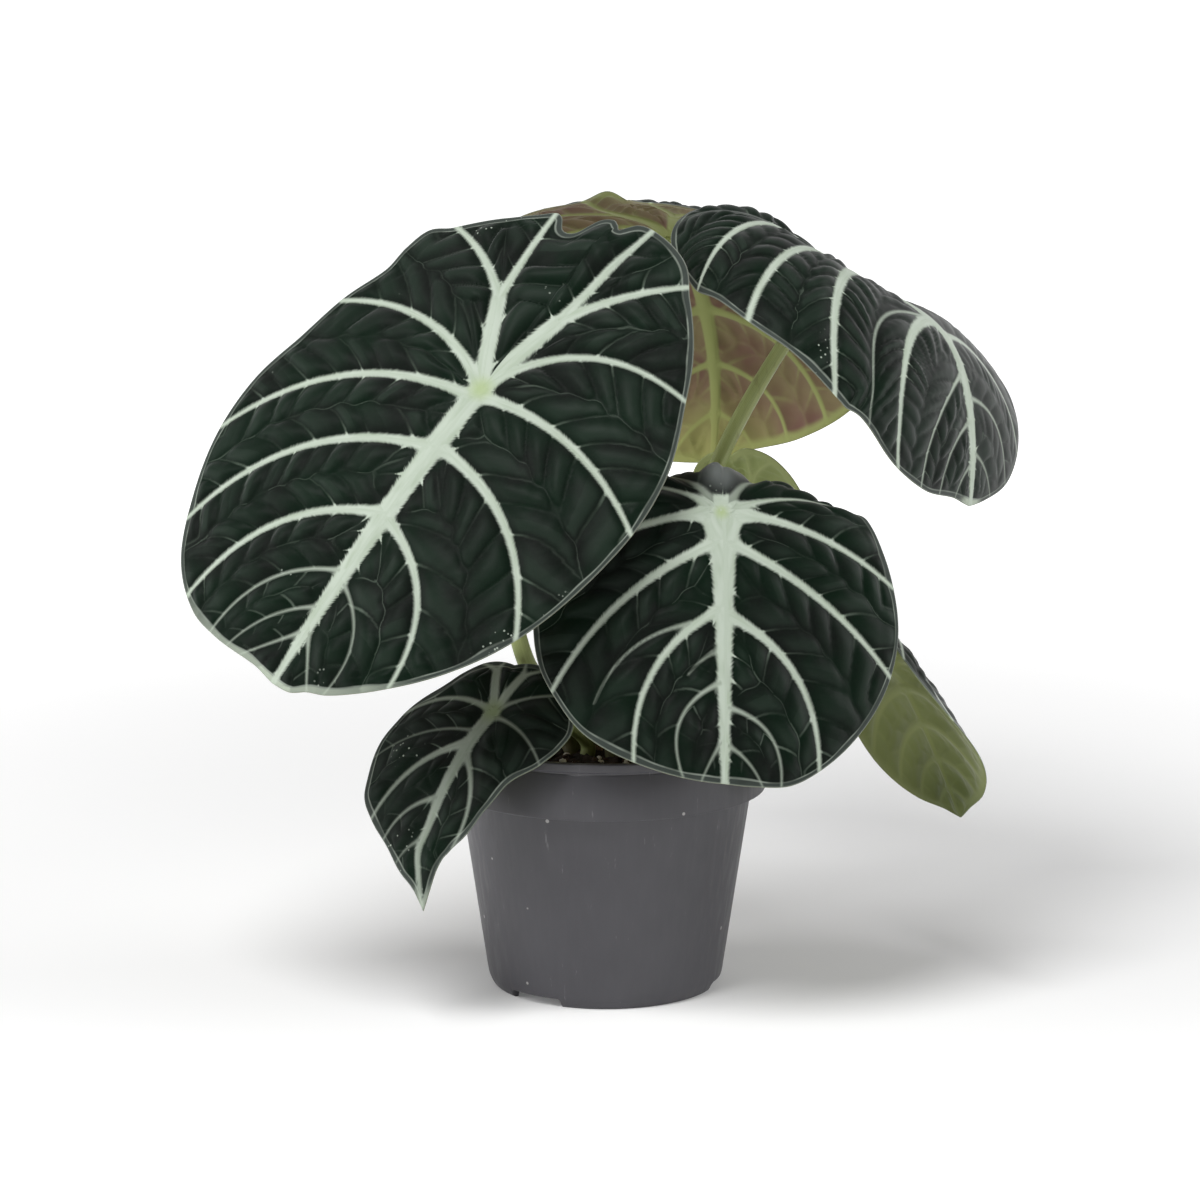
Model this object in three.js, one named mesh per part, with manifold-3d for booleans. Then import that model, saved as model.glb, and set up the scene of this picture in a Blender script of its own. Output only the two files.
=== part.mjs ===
// A potted ninja alocasia: seven peltate leaves on round stalks, a short rootstock and a bed of
// potting mix in a tapered nursery pot. Millimetres, +Z up. The pot's axis is the Z axis, its feet
// stand on Z = 0, and the viewer stands on the -Y side.
import * as THREE from 'three';
import { mergeVertices } from 'three/addons/utils/BufferGeometryUtils.js';
import Module from 'manifold-3d';

const wasm = await Module();
wasm.setup();

// Clearance between pieces that touch on the real plant
const GAP = 0.3;

// Pot
const POT_HEIGHT = 96;
const RIM_RADIUS = 60;
const COLLAR_HEIGHT = 21;
const COLLAR_STEP = 5.2;
const FOOT_RADIUS = 41.4;
const WALL = 1.3;
const FLOOR_RISE = 3;
const FLOOR_THICKNESS = 1.6;
const CENTRE_PAD_RADIUS = 12;
const NOTCH_ANGLES = [-128, -8, 112];
const NOTCH_SPAN = 30;
const NOTCH_HEIGHT = 2.6;
const NOTCH_STEPS = 6;
const DRAIN_COUNT = 6;
const DRAIN_RADIUS = 4;
const DRAIN_CIRCLE = 26;
const POT_SIDES = 56;

// Potting mix
const SOIL_TOP = 87;
const MOUND = 2.5;
const SOIL_RINGS = 7;
const SOIL_SIDES = 36;
const CRUMB_HEIGHT = 1.1;
const HOLE_BOTTOM = 68;
const HOLE_CLEARANCE = 0.5;

// Rootstock and stalks
const ROOTSTOCK_RADIUS = 8.2;
const ROOTSTOCK_TOP = 93;
const STALK_CIRCLE = 13.4;
const STALK_SIDES = 8;
const STALK_STEPS = 14;
const STALK_APPROACH = 9;
const LARGE_STALK = { low: 4, high: 2.6 };
const SMALL_STALK = { low: 3.3, high: 1.9 };

// Blades
const BLADE = 1.0;
const HUB_DIMPLE = 1.2;
const MIDRIB_DEPTH = 2.2;
const VEIN_DEPTH = 0.3;
const SHOULDER = 3;
const LARGE_GRID = { columns: 8, spacing: 6, fan: 12 };
const SMALL_GRID = { columns: 6, spacing: 6, fan: 16 };
const LARGE_WIDTH = 50;

const rad = THREE.MathUtils.degToRad;
const mix = THREE.MathUtils.lerp;

// Smooth curve through [place, value] pairs, level past both ends
function smooth(knots, at) {
  const last = knots.length - 1;
  const place = THREE.MathUtils.clamp(at, knots[0][0], knots[last][0]);
  let i = 0;
  while (i < last - 1 && knots[i + 1][0] <= place) i += 1;
  const slope = (k) => {
    const a = knots[Math.max(k - 1, 0)];
    const b = knots[Math.min(k + 1, last)];
    return (b[1] - a[1]) / (b[0] - a[0]);
  };
  const [x0, y0] = knots[i];
  const [x1, y1] = knots[i + 1];
  const span = x1 - x0;
  const u = (place - x0) / span;
  const v = 1 - u;
  const ends = (1 + 2 * u) * v * v * y0 + u * u * (3 - 2 * u) * y1;
  return ends + u * v * span * (v * slope(i) - u * slope(i + 1));
}

// The margin of half a blade whose tip is 1 away from the hub: [degrees from the tip, radius]
const EDGE = [[0, 1], [8, 0.95], [20, 0.92], [35, 0.86], [50, 0.78], [70, 0.66],
  [90, 0.58], [110, 0.55], [130, 0.58], [150, 0.61], [168, 0.58], [180, 0.5]];

// Main veins of that half: [s, degrees at the margin, bow, width in mm]
const VEINS = [[0.82, 9, -0.1, 1], [0.64, 17, -0.16, 1.4], [0.42, 27, -0.15, 2], [0.2, 42, -0.14, 2.4],
  [0.03, 62, -0.17, 2.6], [0, 100, -0.15, 2.4]];

const edge = (reach, breadth) => EDGE.map(([angle, radius]) => {
  const sideways = 1 + (breadth - 1) * Math.sin(rad(angle));
  return [angle, reach * radius * sideways];
});
const veins = (reach) => VEINS.map(([s, angle, bow, width]) => [s * reach, angle, bow, width]);
const rib = (reach) => ({ angle: 160, length: 0.27 * reach, outer: [143, -0.06], inner: [168, 0.03] });

// Each leaf lies in flat leaf coordinates first: x to the leaf's right, s along the midrib, both
// from the hub where the stalk meets the blade, s growing towards the tip.
//   hub     where the hub is
//   face    where the upper face looks: degrees right of the viewer, degrees above the horizon
//   spin    degrees that the tip is turned from straight downhill, towards the leaf's right
//   width   half width that the curls refer to
//   slope   [s, degrees] that the midrib has bent down from its direction at the hub
//   right, left: one half of the blade each
//     edge  [degrees from the tip, radius] of the margin, as far as the notch at 180
//     curl  [s, degrees] that the half has bent down at the reference width
//     veins [s, degrees at the margin, bow, width] of each main vein, from the tip to the hub
//     rib   the hind rib: its direction, length and the [degrees at the margin, bow] of its forks
//   bumps   [x, s, radius, height] of local bulges
//   pleat   height of the quilting between veins
//   stalk   waypoints from the blade down to the soil
//   base    direction of the stalk's foot round the rootstock
const LEAVES = {
  a: {
    hub: [-44.4, -50, 230.6],
    face: [-18, 34],
    spin: 28.5,
    width: 75,
    slope: [[-80, -8], [0, 0], [130, 14]],
    right: {
      edge: [[0, 127], [5, 124], [12, 124], [20, 129], [30, 125], [40, 114], [52, 104], [64, 92],
        [77, 76], [94, 71], [110, 67], [118, 74], [132, 69], [150, 73], [165, 68], [180, 66]],
      curl: [[-60, 12], [120, 12]],
      veins: [[106, 8, 0, 1], [96, 11, -0.1, 1.2], [81, 15, -0.16, 1.6], [56, 23, -0.15, 2.2],
        [27, 36, -0.14, 2.6], [4, 53, -0.18, 2.6], [0, 91, -0.16, 2.6]],
      rib: { angle: 151, length: 36, outer: [132, -0.08], inner: [162, 0.01] },
    },
    left: {
      edge: [[0, 127], [10, 122], [20, 114], [34, 102], [45, 95], [64, 83], [80, 76], [98, 74],
        [115, 71], [135, 75], [150, 82], [163, 85], [173, 82], [180, 66]],
      curl: [[-60, 12], [120, 12]],
      veins: [[104, 6, 0, 1], [84, 9, -0.2, 1.4], [57, 20, -0.19, 2], [26, 45, -0.15, 2.6],
        [3, 80, -0.11, 2.6], [0, 120, -0.16, 2.6]],
      rib: { angle: 168, length: 36, outer: [153, -0.06], inner: [172, -0.05] },
    },
    bumps: [[0, -66, 9, 4]],
    pleat: 1.6,
    stalk: [[-39, -38, 182], [-29.5, -29, 129], [-19, -13, 108]],
    base: 200,
  },
  b: {
    hub: [85.7, 10, 269.5],
    face: [80.9, 63.2],
    spin: 4.3,
    width: 66,
    slope: [[-70, -13.4], [0, 0], [45, 21.8], [80, 54.4], [125, 46.1]],
    right: {
      edge: [[0, 112], [8, 109], [20, 110], [35, 107], [50, 101], [70, 86], [90, 78], [110, 73],
        [130, 72], [150, 68], [168, 62], [180, 52]],
      curl: [[-60, 54], [20, 31.7], [110, 47.7]],
      veins: veins(112),
      rib: rib(112),
    },
    left: {
      edge: [[0, 112], [8, 109], [20, 110], [35, 107], [50, 100], [70, 84], [90, 70], [110, 62],
        [130, 62], [150, 63], [168, 60], [180, 52]],
      curl: [[-60, 34], [20, 34.1], [110, -20.8]],
      veins: veins(112),
      rib: rib(98),
    },
    bumps: [],
    pleat: 1.6,
    stalk: [[63.9, 9, 235.8], [40.2, 6, 191.8], [22, 3, 130]],
    base: 10,
  },
  c: {
    hub: [41, -65, 188.6],
    face: [12, 24],
    spin: 3,
    width: 65,
    slope: [[-45, -110], [-23, -85], [-9, -33], [0, 0], [100, 10]],
    right: {
      edge: [[0, 95], [15, 94], [32, 93], [42, 89], [51, 85], [62, 77], [75, 66], [90, 56],
        [115, 48], [140, 46], [165, 44], [180, 36]],
      curl: [[-30, -40], [0, 22], [100, 22]],
      veins: veins(97),
      rib: rib(97),
    },
    left: {
      edge: [[0, 95], [7, 97], [21, 97], [33, 93], [46, 87], [57, 79], [69, 69], [84, 58],
        [100, 50], [120, 46], [145, 46], [165, 44], [180, 36]],
      curl: [[-25, 52], [0, 24], [100, 20]],
      veins: veins(97),
      rib: rib(97),
    },
    bumps: [[0, -19, 9, 4]],
    pleat: 1.6,
    stalk: [[30, -36, 165], [14, -20, 120]],
    base: 285,
  },
  d: {
    hub: [-40.7, -52, 114.3],
    face: [-30, 38],
    spin: -1,
    width: 36,
    slope: [[-30, -10], [0, 0], [80, 20]],
    right: {
      edge: [[0, 77], [5, 68], [13, 70], [30, 62], [50, 58], [72, 48], [95, 34], [127, 26],
        [150, 25], [180, 20]],
      curl: [[-30, 10], [80, 10]],
      veins: veins(77),
      rib: rib(70),
    },
    left: {
      edge: [[0, 77], [5, 60], [20, 42], [40, 38], [60, 38], [85, 36], [110, 28], [144, 24], [180, 20]],
      curl: [[-20, 10], [30, 40], [80, 60]],
      veins: veins(77),
      rib: rib(70),
    },
    bumps: [],
    pleat: 1.2,
    stalk: [[-19, -26, 105]],
    base: 240,
  },
  e: {
    hub: [26.7, 118, 269.5],
    face: [163.8, 51],
    spin: 6.9,
    width: 60,
    slope: [[-60, -60], [0, 0], [100, 62.1]],
    right: {
      edge: [[0, 111], [8, 108], [20, 109], [35, 106], [50, 98], [70, 82], [90, 70], [110, 63],
        [130, 63], [150, 66], [168, 66], [180, 55.5]],
      curl: [[-50, 42], [100, 18.5]],
      veins: veins(111),
      rib: rib(100),
    },
    left: {
      edge: edge(111, 1.2),
      curl: [[-50, 28.1], [100, 25.1]],
      veins: veins(111),
      rib: rib(111),
    },
    bumps: [[-8, -54, 11, 5]],
    pleat: 1.6,
    stalk: [[17, 80, 225], [9, 45, 165], [1, 19, 118]],
    base: 95,
  },
  f: {
    hub: [104.1, -12, 126.3],
    face: [127, 26],
    spin: 14,
    width: 36,
    slope: [[-40, -10.4], [0, 0], [70, 12.5]],
    right: { edge: edge(67, 1), curl: [[-20, 55], [60, 8]], veins: veins(67), rib: rib(67) },
    left: { edge: edge(67, 1), curl: [[-20, -2], [60, 15]], veins: veins(67), rib: rib(67) },
    bumps: [],
    pleat: 1.2,
    stalk: [[72, -12, 122], [40, -10, 113]],
    base: -30,
  },
  g: {
    hub: [54, 34, 172],
    face: [154.9, 20.7],
    spin: 5.2,
    width: 36,
    slope: [[-40, -22.5], [0, 0], [70, 19.8]],
    right: { edge: edge(50.5, 1), curl: [[-20, 25.8], [60, 20]], veins: veins(50.5), rib: rib(50.5) },
    left: { edge: edge(50.5, 0.8), curl: [[-20, 60], [60, 20]], veins: veins(50.5), rib: rib(44) },
    bumps: [],
    pleat: 1.2,
    stalk: [[36, 20, 143], [20, 13, 113]],
    base: 50,
  },
};

const isLarge = (leaf) => leaf.width > LARGE_WIDTH;
const stalkRadii = (leaf) => (isLarge(leaf) ? LARGE_STALK : SMALL_STALK);
const around = (radius, degrees) => [radius * Math.cos(rad(degrees)), radius * Math.sin(rad(degrees))];
const stalkFoot = (leaf) => around(STALK_CIRCLE, leaf.base);

// A blade's shape in space: a function of x, s and the height above its middle surface
function bladeSurface(leaf) {
  const [turn, rise] = leaf.face.map(rad);
  const normal = new THREE.Vector3(
    Math.sin(turn) * Math.cos(rise),
    -Math.cos(turn) * Math.cos(rise),
    Math.sin(rise),
  );
  const downhill = new THREE.Vector3(
    Math.sin(turn) * Math.sin(rise),
    -Math.cos(turn) * Math.sin(rise),
    -Math.cos(rise),
  );
  const level = new THREE.Vector3().crossVectors(downhill, normal);
  const forward = downhill.multiplyScalar(Math.cos(rad(leaf.spin)))
    .addScaledVector(level, Math.sin(rad(leaf.spin)));
  const right = new THREE.Vector3().crossVectors(forward, normal);
  const hub = new THREE.Vector3(...leaf.hub);

  // The midrib, walked in 1 mm steps from the hub both ways
  const walk = (s) => {
    const step = Math.sign(s);
    let along = 0;
    let down = 0;
    for (let done = 0; done < Math.abs(s); done += 1) {
      const length = Math.min(1, Math.abs(s) - done);
      const angle = rad(smooth(leaf.slope, step * (done + length / 2)));
      along += step * length * Math.cos(angle);
      down += step * length * Math.sin(angle);
    }
    return [along, down];
  };

  return (x, s, height) => {
    const [along, down] = walk(s);
    const bend = rad(smooth(leaf.slope, s));
    const up = normal.clone().multiplyScalar(Math.cos(bend)).addScaledVector(forward, Math.sin(bend));
    const half = x < 0 ? leaf.left : leaf.right;
    const curl = rad(smooth(half.curl, s)) / leaf.width || 1e-6;
    const angle = curl * Math.abs(x);
    let raised = height;
    for (const [bumpX, bumpS, radius, tall] of leaf.bumps) {
      raised += tall * Math.exp(-((x - bumpX) ** 2 + (s - bumpS) ** 2) / radius ** 2);
    }
    const out = Math.sin(angle) / curl + raised * Math.sin(angle);
    const drop = (1 - Math.cos(angle)) / curl;
    return hub.clone()
      .addScaledVector(forward, along)
      .addScaledVector(normal, -down)
      .addScaledVector(right, Math.sign(x) * out)
      .addScaledVector(up, raised * Math.cos(angle) - drop);
  };
}

// The rows of one half of a blade, from the tip to the notch. Each row runs from the midrib or the
// hind rib to the margin. between is 0 on a main vein and grows to 1 on the way to the next one.
function halfRows(half, stations, fan) {
  const rows = [];
  const push = (start, angle, bow, between, width) => rows.push({ start, angle, bow, between, width });
  const blend = (start, a, b, f) => {
    const [angle, bow, width] = [1, 2, 3].map((column) => mix(a[column], b[column], f));
    push(start, angle, bow, f % 1, width);
  };

  // Rows that leave the midrib
  const paths = [[half.edge[0][1], 0, 0, 0], ...half.veins];
  for (const s of stations) {
    const k = Math.max(0, paths.findIndex((path) => path[0] < s) - 1);
    const past = s <= 0 ? paths.findIndex((path) => path[0] === 0) - 1 : k;
    blend([0, s], paths[past], paths[past + 1], (paths[past][0] - s) / (paths[past][0] - paths[past + 1][0]));
  }

  // Rows that leave the hub itself
  const hubVeins = paths.filter(([s]) => s === 0);
  for (let k = 0; k + 1 < hubVeins.length; k += 1) {
    const count = Math.max(2, Math.ceil((hubVeins[k + 1][1] - hubVeins[k][1]) / fan));
    for (let i = 1; i <= count; i += 1) blend([0, 0], hubVeins[k], hubVeins[k + 1], i / count);
  }

  // Out along the hind rib, round its fork and back
  const { angle: ribAngle, length, outer, inner } = half.rib;
  const on = (distance) => [distance * Math.sin(rad(ribAngle)), distance * Math.cos(rad(ribAngle))];
  const [, lastAngle, lastBow, width] = hubVeins[hubVeins.length - 1];
  const ribSteps = Math.max(3, Math.round(length / 8));
  const forkSteps = Math.max(2, Math.round((inner[0] - outer[0]) / fan));
  for (let i = 1; i <= ribSteps; i += 1) {
    const f = i / ribSteps;
    push(on(length * f), mix(lastAngle, outer[0], f), mix(lastBow, outer[1], f), f % 1, width);
  }
  for (let i = 1; i <= forkSteps; i += 1) {
    const f = i / forkSteps;
    push(on(length), mix(outer[0], inner[0], f), mix(outer[1], inner[1], f), f % 1, width);
  }
  for (let i = 1; i <= ribSteps; i += 1) {
    const f = i / ribSteps;
    push(on(length * (1 - f)), mix(inner[0], 180, f), mix(inner[1], 0, f), f, width);
  }
  return rows;
}

// One row as flat [x, s, share of the way]: a bowed line from its start to the margin
function rowPoints(row, half, columns) {
  const reach = smooth(half.edge, row.angle);
  const [x0, s0] = row.start;
  const x1 = row.angle >= 180 ? 0 : reach * Math.sin(rad(row.angle));
  const s1 = reach * Math.cos(rad(row.angle));
  const middleX = (x0 + x1) / 2 - 2 * row.bow * (s1 - s0);
  const middleS = (s0 + s1) / 2 + 2 * row.bow * (x1 - x0);
  const length = Math.hypot(x1 - x0, s1 - s0);
  const first = Math.min(SHOULDER / Math.max(length, 0.001), 1 / columns);
  const points = [[x0, s0, 0]];
  for (let j = 1; j <= columns; j += 1) {
    const t = mix(first, 1, (j - 1) / (columns - 1));
    const u = 1 - t;
    points.push([
      u * u * x0 + 2 * u * t * middleX + t * t * x1,
      u * u * s0 + 2 * u * t * middleS + t * t * s1,
      t,
    ]);
  }
  return points;
}

// Heights of the upper and lower face at one point of a row
function faceHeights(leaf, row, x, s, t) {
  const reach = leaf.right.edge[0][1];
  const nearHub = Math.exp(-(x * x + s * s) / 60);
  const swell = Math.sin(Math.PI * Math.min(1, t * 1.15)) ** 0.6;
  const top = leaf.pleat * Math.sin(Math.PI * row.between) * swell - HUB_DIMPLE * nearHub;
  const spine = t === 0 ? MIDRIB_DEPTH * Math.max(0, 1 - Math.hypot(x, s) / (reach * 1.05)) : 0;
  const vein = row.between === 0 ? VEIN_DEPTH * row.width * (1 - t) : 0;
  return [top, top - BLADE - Math.max(spine, vein, MIDRIB_DEPTH * nearHub)];
}

// Where rows leave the midrib: on every main vein, and evenly between
function midribStations(leaf, spacing) {
  const marks = [...leaf.right.veins, ...leaf.left.veins].map(([s]) => s);
  const main = [...new Set([leaf.right.edge[0][1], ...marks, 0])].sort((a, b) => b - a);
  const stations = [];
  for (let k = 0; k + 1 < main.length; k += 1) {
    const count = Math.max(1, Math.round((main[k] - main[k + 1]) / spacing));
    for (let i = 0; i < count; i += 1) stations.push(mix(main[k], main[k + 1], i / count));
  }
  return [...stations, 0];
}

// A closed blade: quilted upper face, ribbed lower face and a thin margin
function bladeGeometry(leaf) {
  const { columns, spacing, fan } = isLarge(leaf) ? LARGE_GRID : SMALL_GRID;
  const stations = midribStations(leaf, spacing);
  const corners = [];
  const known = new Map();
  const corner = (x, s, heights) => {
    const key = `${x.toFixed(3)},${s.toFixed(3)}`;
    if (!known.has(key)) {
      known.set(key, corners.length);
      corners.push([x, s, heights]);
    }
    return known.get(key);
  };
  const faces = [];
  const rim = [];
  for (const side of [1, -1]) {
    const half = side > 0 ? leaf.right : leaf.left;
    const grid = halfRows(half, stations, fan).map((row) => rowPoints(row, half, columns)
      .map(([x, s, t]) => corner(side * x, s, faceHeights(leaf, row, x, s, t))));
    for (let i = 0; i + 1 < grid.length; i += 1) {
      for (let j = 0; j < columns; j += 1) {
        const [a, b, c, d] = [grid[i][j], grid[i][j + 1], grid[i + 1][j + 1], grid[i + 1][j]];
        const pair = side > 0 ? [[a, b, c], [a, c, d]] : [[a, c, b], [a, d, c]];
        faces.push(...pair.filter(([p, q, r]) => p !== q && q !== r && r !== p));
      }
      const [a, b] = [grid[i][columns], grid[i + 1][columns]];
      if (a !== b) rim.push(side > 0 ? [a, b] : [b, a]);
    }
  }

  const surface = bladeSurface(leaf);
  const positions = [0, 1].flatMap((level) => corners
    .flatMap(([x, s, heights]) => surface(x, s, heights[level]).toArray()));
  const below = corners.length;
  const triangles = [
    ...faces.flatMap(([a, b, c]) => [a, c, b, below + a, below + b, below + c]),
    ...rim.flatMap(([a, b]) => [a, b, below + b, a, below + b, below + a]),
  ];
  return meshGeometry(positions, triangles);
}

function meshGeometry(positions, triangles) {
  const geometry = new THREE.BufferGeometry();
  geometry.setAttribute('position', new THREE.Float32BufferAttribute(positions, 3));
  geometry.setIndex(triangles);
  return geometry;
}

// A tapering round stalk from the soil to just under its blade, closed at both ends
function stalkGeometry(leaf) {
  const [footX, footY] = stalkFoot(leaf);
  const { low, high } = stalkRadii(leaf);
  const surface = bladeSurface(leaf);
  const underside = -(HUB_DIMPLE + BLADE + MIDRIB_DEPTH);
  const foot = [HOLE_BOTTOM + GAP, HOLE_BOTTOM + 9, SOIL_TOP, SOIL_TOP + 6];
  const curve = new THREE.CatmullRomCurve3([
    ...foot.map((z) => new THREE.Vector3(footX, footY, z)),
    ...[...leaf.stalk].reverse().map((place) => new THREE.Vector3(...place)),
    surface(0, 0, underside - STALK_APPROACH),
    surface(0, 0, underside - 1.5 * GAP),
  ], false, 'centripetal');

  const positions = [];
  const side = new THREE.Vector3(1, 0, 0);
  for (let i = 0; i <= STALK_STEPS; i += 1) {
    const f = i / STALK_STEPS;
    const centre = curve.getPointAt(f);
    const tangent = curve.getTangentAt(f);
    side.addScaledVector(tangent, -side.dot(tangent)).normalize();
    const across = new THREE.Vector3().crossVectors(tangent, side);
    const radius = mix(low, high, f ** 0.7);
    for (let k = 0; k < STALK_SIDES; k += 1) {
      const turn = 2 * Math.PI * k / STALK_SIDES;
      const place = centre.clone()
        .addScaledVector(side, radius * Math.cos(turn))
        .addScaledVector(across, radius * Math.sin(turn));
      positions.push(...place.toArray());
    }
  }
  const at = (i, k) => i * STALK_SIDES + (k % STALK_SIDES);
  const triangles = [];
  for (let i = 0; i < STALK_STEPS; i += 1) {
    for (let k = 0; k < STALK_SIDES; k += 1) {
      triangles.push(at(i, k), at(i, k + 1), at(i + 1, k + 1));
      triangles.push(at(i, k), at(i + 1, k + 1), at(i + 1, k));
    }
  }
  for (let k = 1; k + 1 < STALK_SIDES; k += 1) {
    triangles.push(at(0, 0), at(0, k + 1), at(0, k));
    triangles.push(at(STALK_STEPS, 0), at(STALK_STEPS, k), at(STALK_STEPS, k + 1));
  }
  return meshGeometry(positions, triangles);
}

// Joining and cutting closed bodies
function toSolid(geometry) {
  const bare = geometry.clone();
  bare.deleteAttribute('normal');
  bare.deleteAttribute('uv');
  const merged = mergeVertices(bare, 1e-4);
  return new wasm.Manifold(new wasm.Mesh({
    numProp: 3,
    vertProperties: Float32Array.from(merged.attributes.position.array),
    triVerts: Uint32Array.from(merged.index.array),
  }));
}

function toGeometry(solid) {
  const mesh = solid.getMesh();
  return meshGeometry(Array.from(mesh.vertProperties), Array.from(mesh.triVerts));
}

// A body of revolution round Z from [radius, height] pairs
function turned(profile, sides) {
  const outline = profile.map(([r, z]) => new THREE.Vector2(r, z));
  return new THREE.LatheGeometry(outline, sides).rotateX(Math.PI / 2);
}

function pin(radius, low, high, x, y, sides) {
  const geometry = new THREE.CylinderGeometry(radius, radius, high - low, sides);
  geometry.rotateX(Math.PI / 2);
  geometry.translate(x, y, (low + high) / 2);
  return geometry;
}

// Levels and radii that the pot and the mix share
const collarBottom = POT_HEIGHT - COLLAR_HEIGHT;
const bodyTop = RIM_RADIUS - 0.6 - COLLAR_STEP;
const bodyLow = FOOT_RADIUS + 2;
const floorTop = FLOOR_RISE + FLOOR_THICKNESS;
const collarInside = RIM_RADIUS - 0.9 - WALL;
const ledge = collarBottom + 1.6;

// A gap in the foot ring, as a wedge of an annulus
function footNotch(angle) {
  const inside = FOOT_RADIUS - 4;
  const outside = FOOT_RADIUS + 6;
  const at = (radius, share) => around(radius, angle + NOTCH_SPAN * (share - 0.5));
  const wedge = new THREE.Shape();
  wedge.moveTo(...at(inside, 0));
  for (let i = 0; i <= NOTCH_STEPS; i += 1) wedge.lineTo(...at(outside, i / NOTCH_STEPS));
  wedge.lineTo(...at(inside, 1));
  wedge.closePath();
  const cutter = new THREE.ExtrudeGeometry(wedge, { depth: NOTCH_HEIGHT + 2, bevelEnabled: false });
  return cutter.translate(0, 0, -2);
}

function potGeometry() {
  const profile = [
    // Underneath, with a flat pad in the middle
    [0, 0], [CENTRE_PAD_RADIUS, 0], [CENTRE_PAD_RADIUS + 0.8, FLOOR_RISE],
    [FOOT_RADIUS - 2.4, FLOOR_RISE], [FOOT_RADIUS - 1.8, 0], [FOOT_RADIUS, 0],
    // Outside, up to the collar and its rounded rim
    [FOOT_RADIUS + 1.4, 0.9], [bodyLow, 3.4], [bodyTop, collarBottom],
    [RIM_RADIUS - 1, collarBottom - 0.4], [RIM_RADIUS - 0.5, collarBottom + 0.4],
    [RIM_RADIUS, POT_HEIGHT - 1.4], [RIM_RADIUS - 0.5, POT_HEIGHT - 0.3], [RIM_RADIUS - 1.2, POT_HEIGHT],
    [RIM_RADIUS - 2, POT_HEIGHT - 0.4], [RIM_RADIUS - 2.2, POT_HEIGHT - 1.6],
    // Inside, down to the floor
    [collarInside + 0.4, POT_HEIGHT - 4], [collarInside, ledge], [bodyTop - WALL, ledge - 1],
    [bodyLow - WALL, floorTop + 1.6], [bodyLow - WALL - 1.6, floorTop], [0, floorTop],
  ];
  let solid = toSolid(turned(profile, POT_SIDES));
  for (const angle of NOTCH_ANGLES) solid = solid.subtract(toSolid(footNotch(angle)));
  for (let i = 0; i < DRAIN_COUNT; i += 1) {
    const [x, y] = around(DRAIN_CIRCLE, 360 * (i + 0.5) / DRAIN_COUNT);
    solid = solid.subtract(toSolid(pin(DRAIN_RADIUS, -1, floorTop + 2, x, y, 16)));
  }
  return toGeometry(solid);
}

// Top of the mix: a low mound with crumbs, which are sines of unlike wavelength
function soilHeight(x, y) {
  const crumbs = Math.sin(x * 0.62 + 1.3 * Math.sin(y * 0.41)) + Math.sin(y * 0.71 + x * 0.23 + 2);
  return SOIL_TOP + CRUMB_HEIGHT * crumbs / 2 + MOUND * Math.exp(-(x * x + y * y) / 500);
}

function soilGeometry() {
  const floor = floorTop + GAP;
  const wallRadius = collarInside - GAP;
  const lowWall = bodyLow - WALL - GAP;
  const profile = [
    [0, floor], [lowWall - 1.8, floor], [lowWall - 0.1, floor + 1.6],
    [bodyTop - WALL - GAP - 0.1, ledge + GAP - 1.2], [wallRadius - 0.2, ledge + GAP],
  ];
  for (let i = SOIL_RINGS; i >= 0; i -= 1) profile.push([wallRadius * i / SOIL_RINGS, SOIL_TOP]);
  const body = turned(profile, SOIL_SIDES);
  const place = body.attributes.position;
  for (let i = 0; i < place.count; i += 1) {
    const onTop = Math.abs(place.getZ(i) - SOIL_TOP) < 0.01;
    if (onTop) place.setZ(i, soilHeight(place.getX(i), place.getY(i)));
  }
  let solid = toSolid(body);
  const holeTop = SOIL_TOP + 10;
  for (const leaf of Object.values(LEAVES)) {
    const [x, y] = stalkFoot(leaf);
    const radius = stalkRadii(leaf).low + HOLE_CLEARANCE;
    solid = solid.subtract(toSolid(pin(radius, HOLE_BOTTOM, holeTop, x, y, 16)));
  }
  const socket = pin(ROOTSTOCK_RADIUS + HOLE_CLEARANCE, HOLE_BOTTOM, holeTop, 0, 0, 20);
  return toGeometry(solid.subtract(toSolid(socket)));
}

// A blunt knob, narrowing in two steps above the mix
function rootstockGeometry() {
  const profile = [
    [0, HOLE_BOTTOM + GAP], [ROOTSTOCK_RADIUS - 1, HOLE_BOTTOM + GAP], [ROOTSTOCK_RADIUS, HOLE_BOTTOM + 2],
    [ROOTSTOCK_RADIUS, SOIL_TOP - 1], [ROOTSTOCK_RADIUS - 0.8, SOIL_TOP + 1],
    [ROOTSTOCK_RADIUS - 0.4, SOIL_TOP + 2.4], [ROOTSTOCK_RADIUS - 2.2, ROOTSTOCK_TOP - 1.6],
    [ROOTSTOCK_RADIUS - 4.5, ROOTSTOCK_TOP], [0, ROOTSTOCK_TOP + 0.6],
  ];
  return turned(profile, 20);
}

const finish = (color, roughness) => new THREE.MeshStandardMaterial({ color, roughness, metalness: 0 });
const POT_PLASTIC = finish(0x5b5a5f, 0.55);
const MIX = finish(0x2a221c, 1);
const ROOTSTOCK = finish(0x5f4a35, 0.9);
const STALK = finish(0x8f9f62, 0.5);
const LEAF_BLADE = finish(0x26352c, 0.5);

const group = new THREE.Group();
function add(name, geometry, material) {
  const mesh = new THREE.Mesh(geometry, material);
  mesh.name = name;
  group.add(mesh);
}

add('pot', potGeometry(), POT_PLASTIC);
add('soil', soilGeometry(), MIX);
add('rootstock', rootstockGeometry(), ROOTSTOCK);
for (const [letter, leaf] of Object.entries(LEAVES)) {
  add(`blade_${letter}`, bladeGeometry(leaf), LEAF_BLADE);
  add(`stalk_${letter}`, stalkGeometry(leaf), STALK);
}

export default group;
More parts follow.
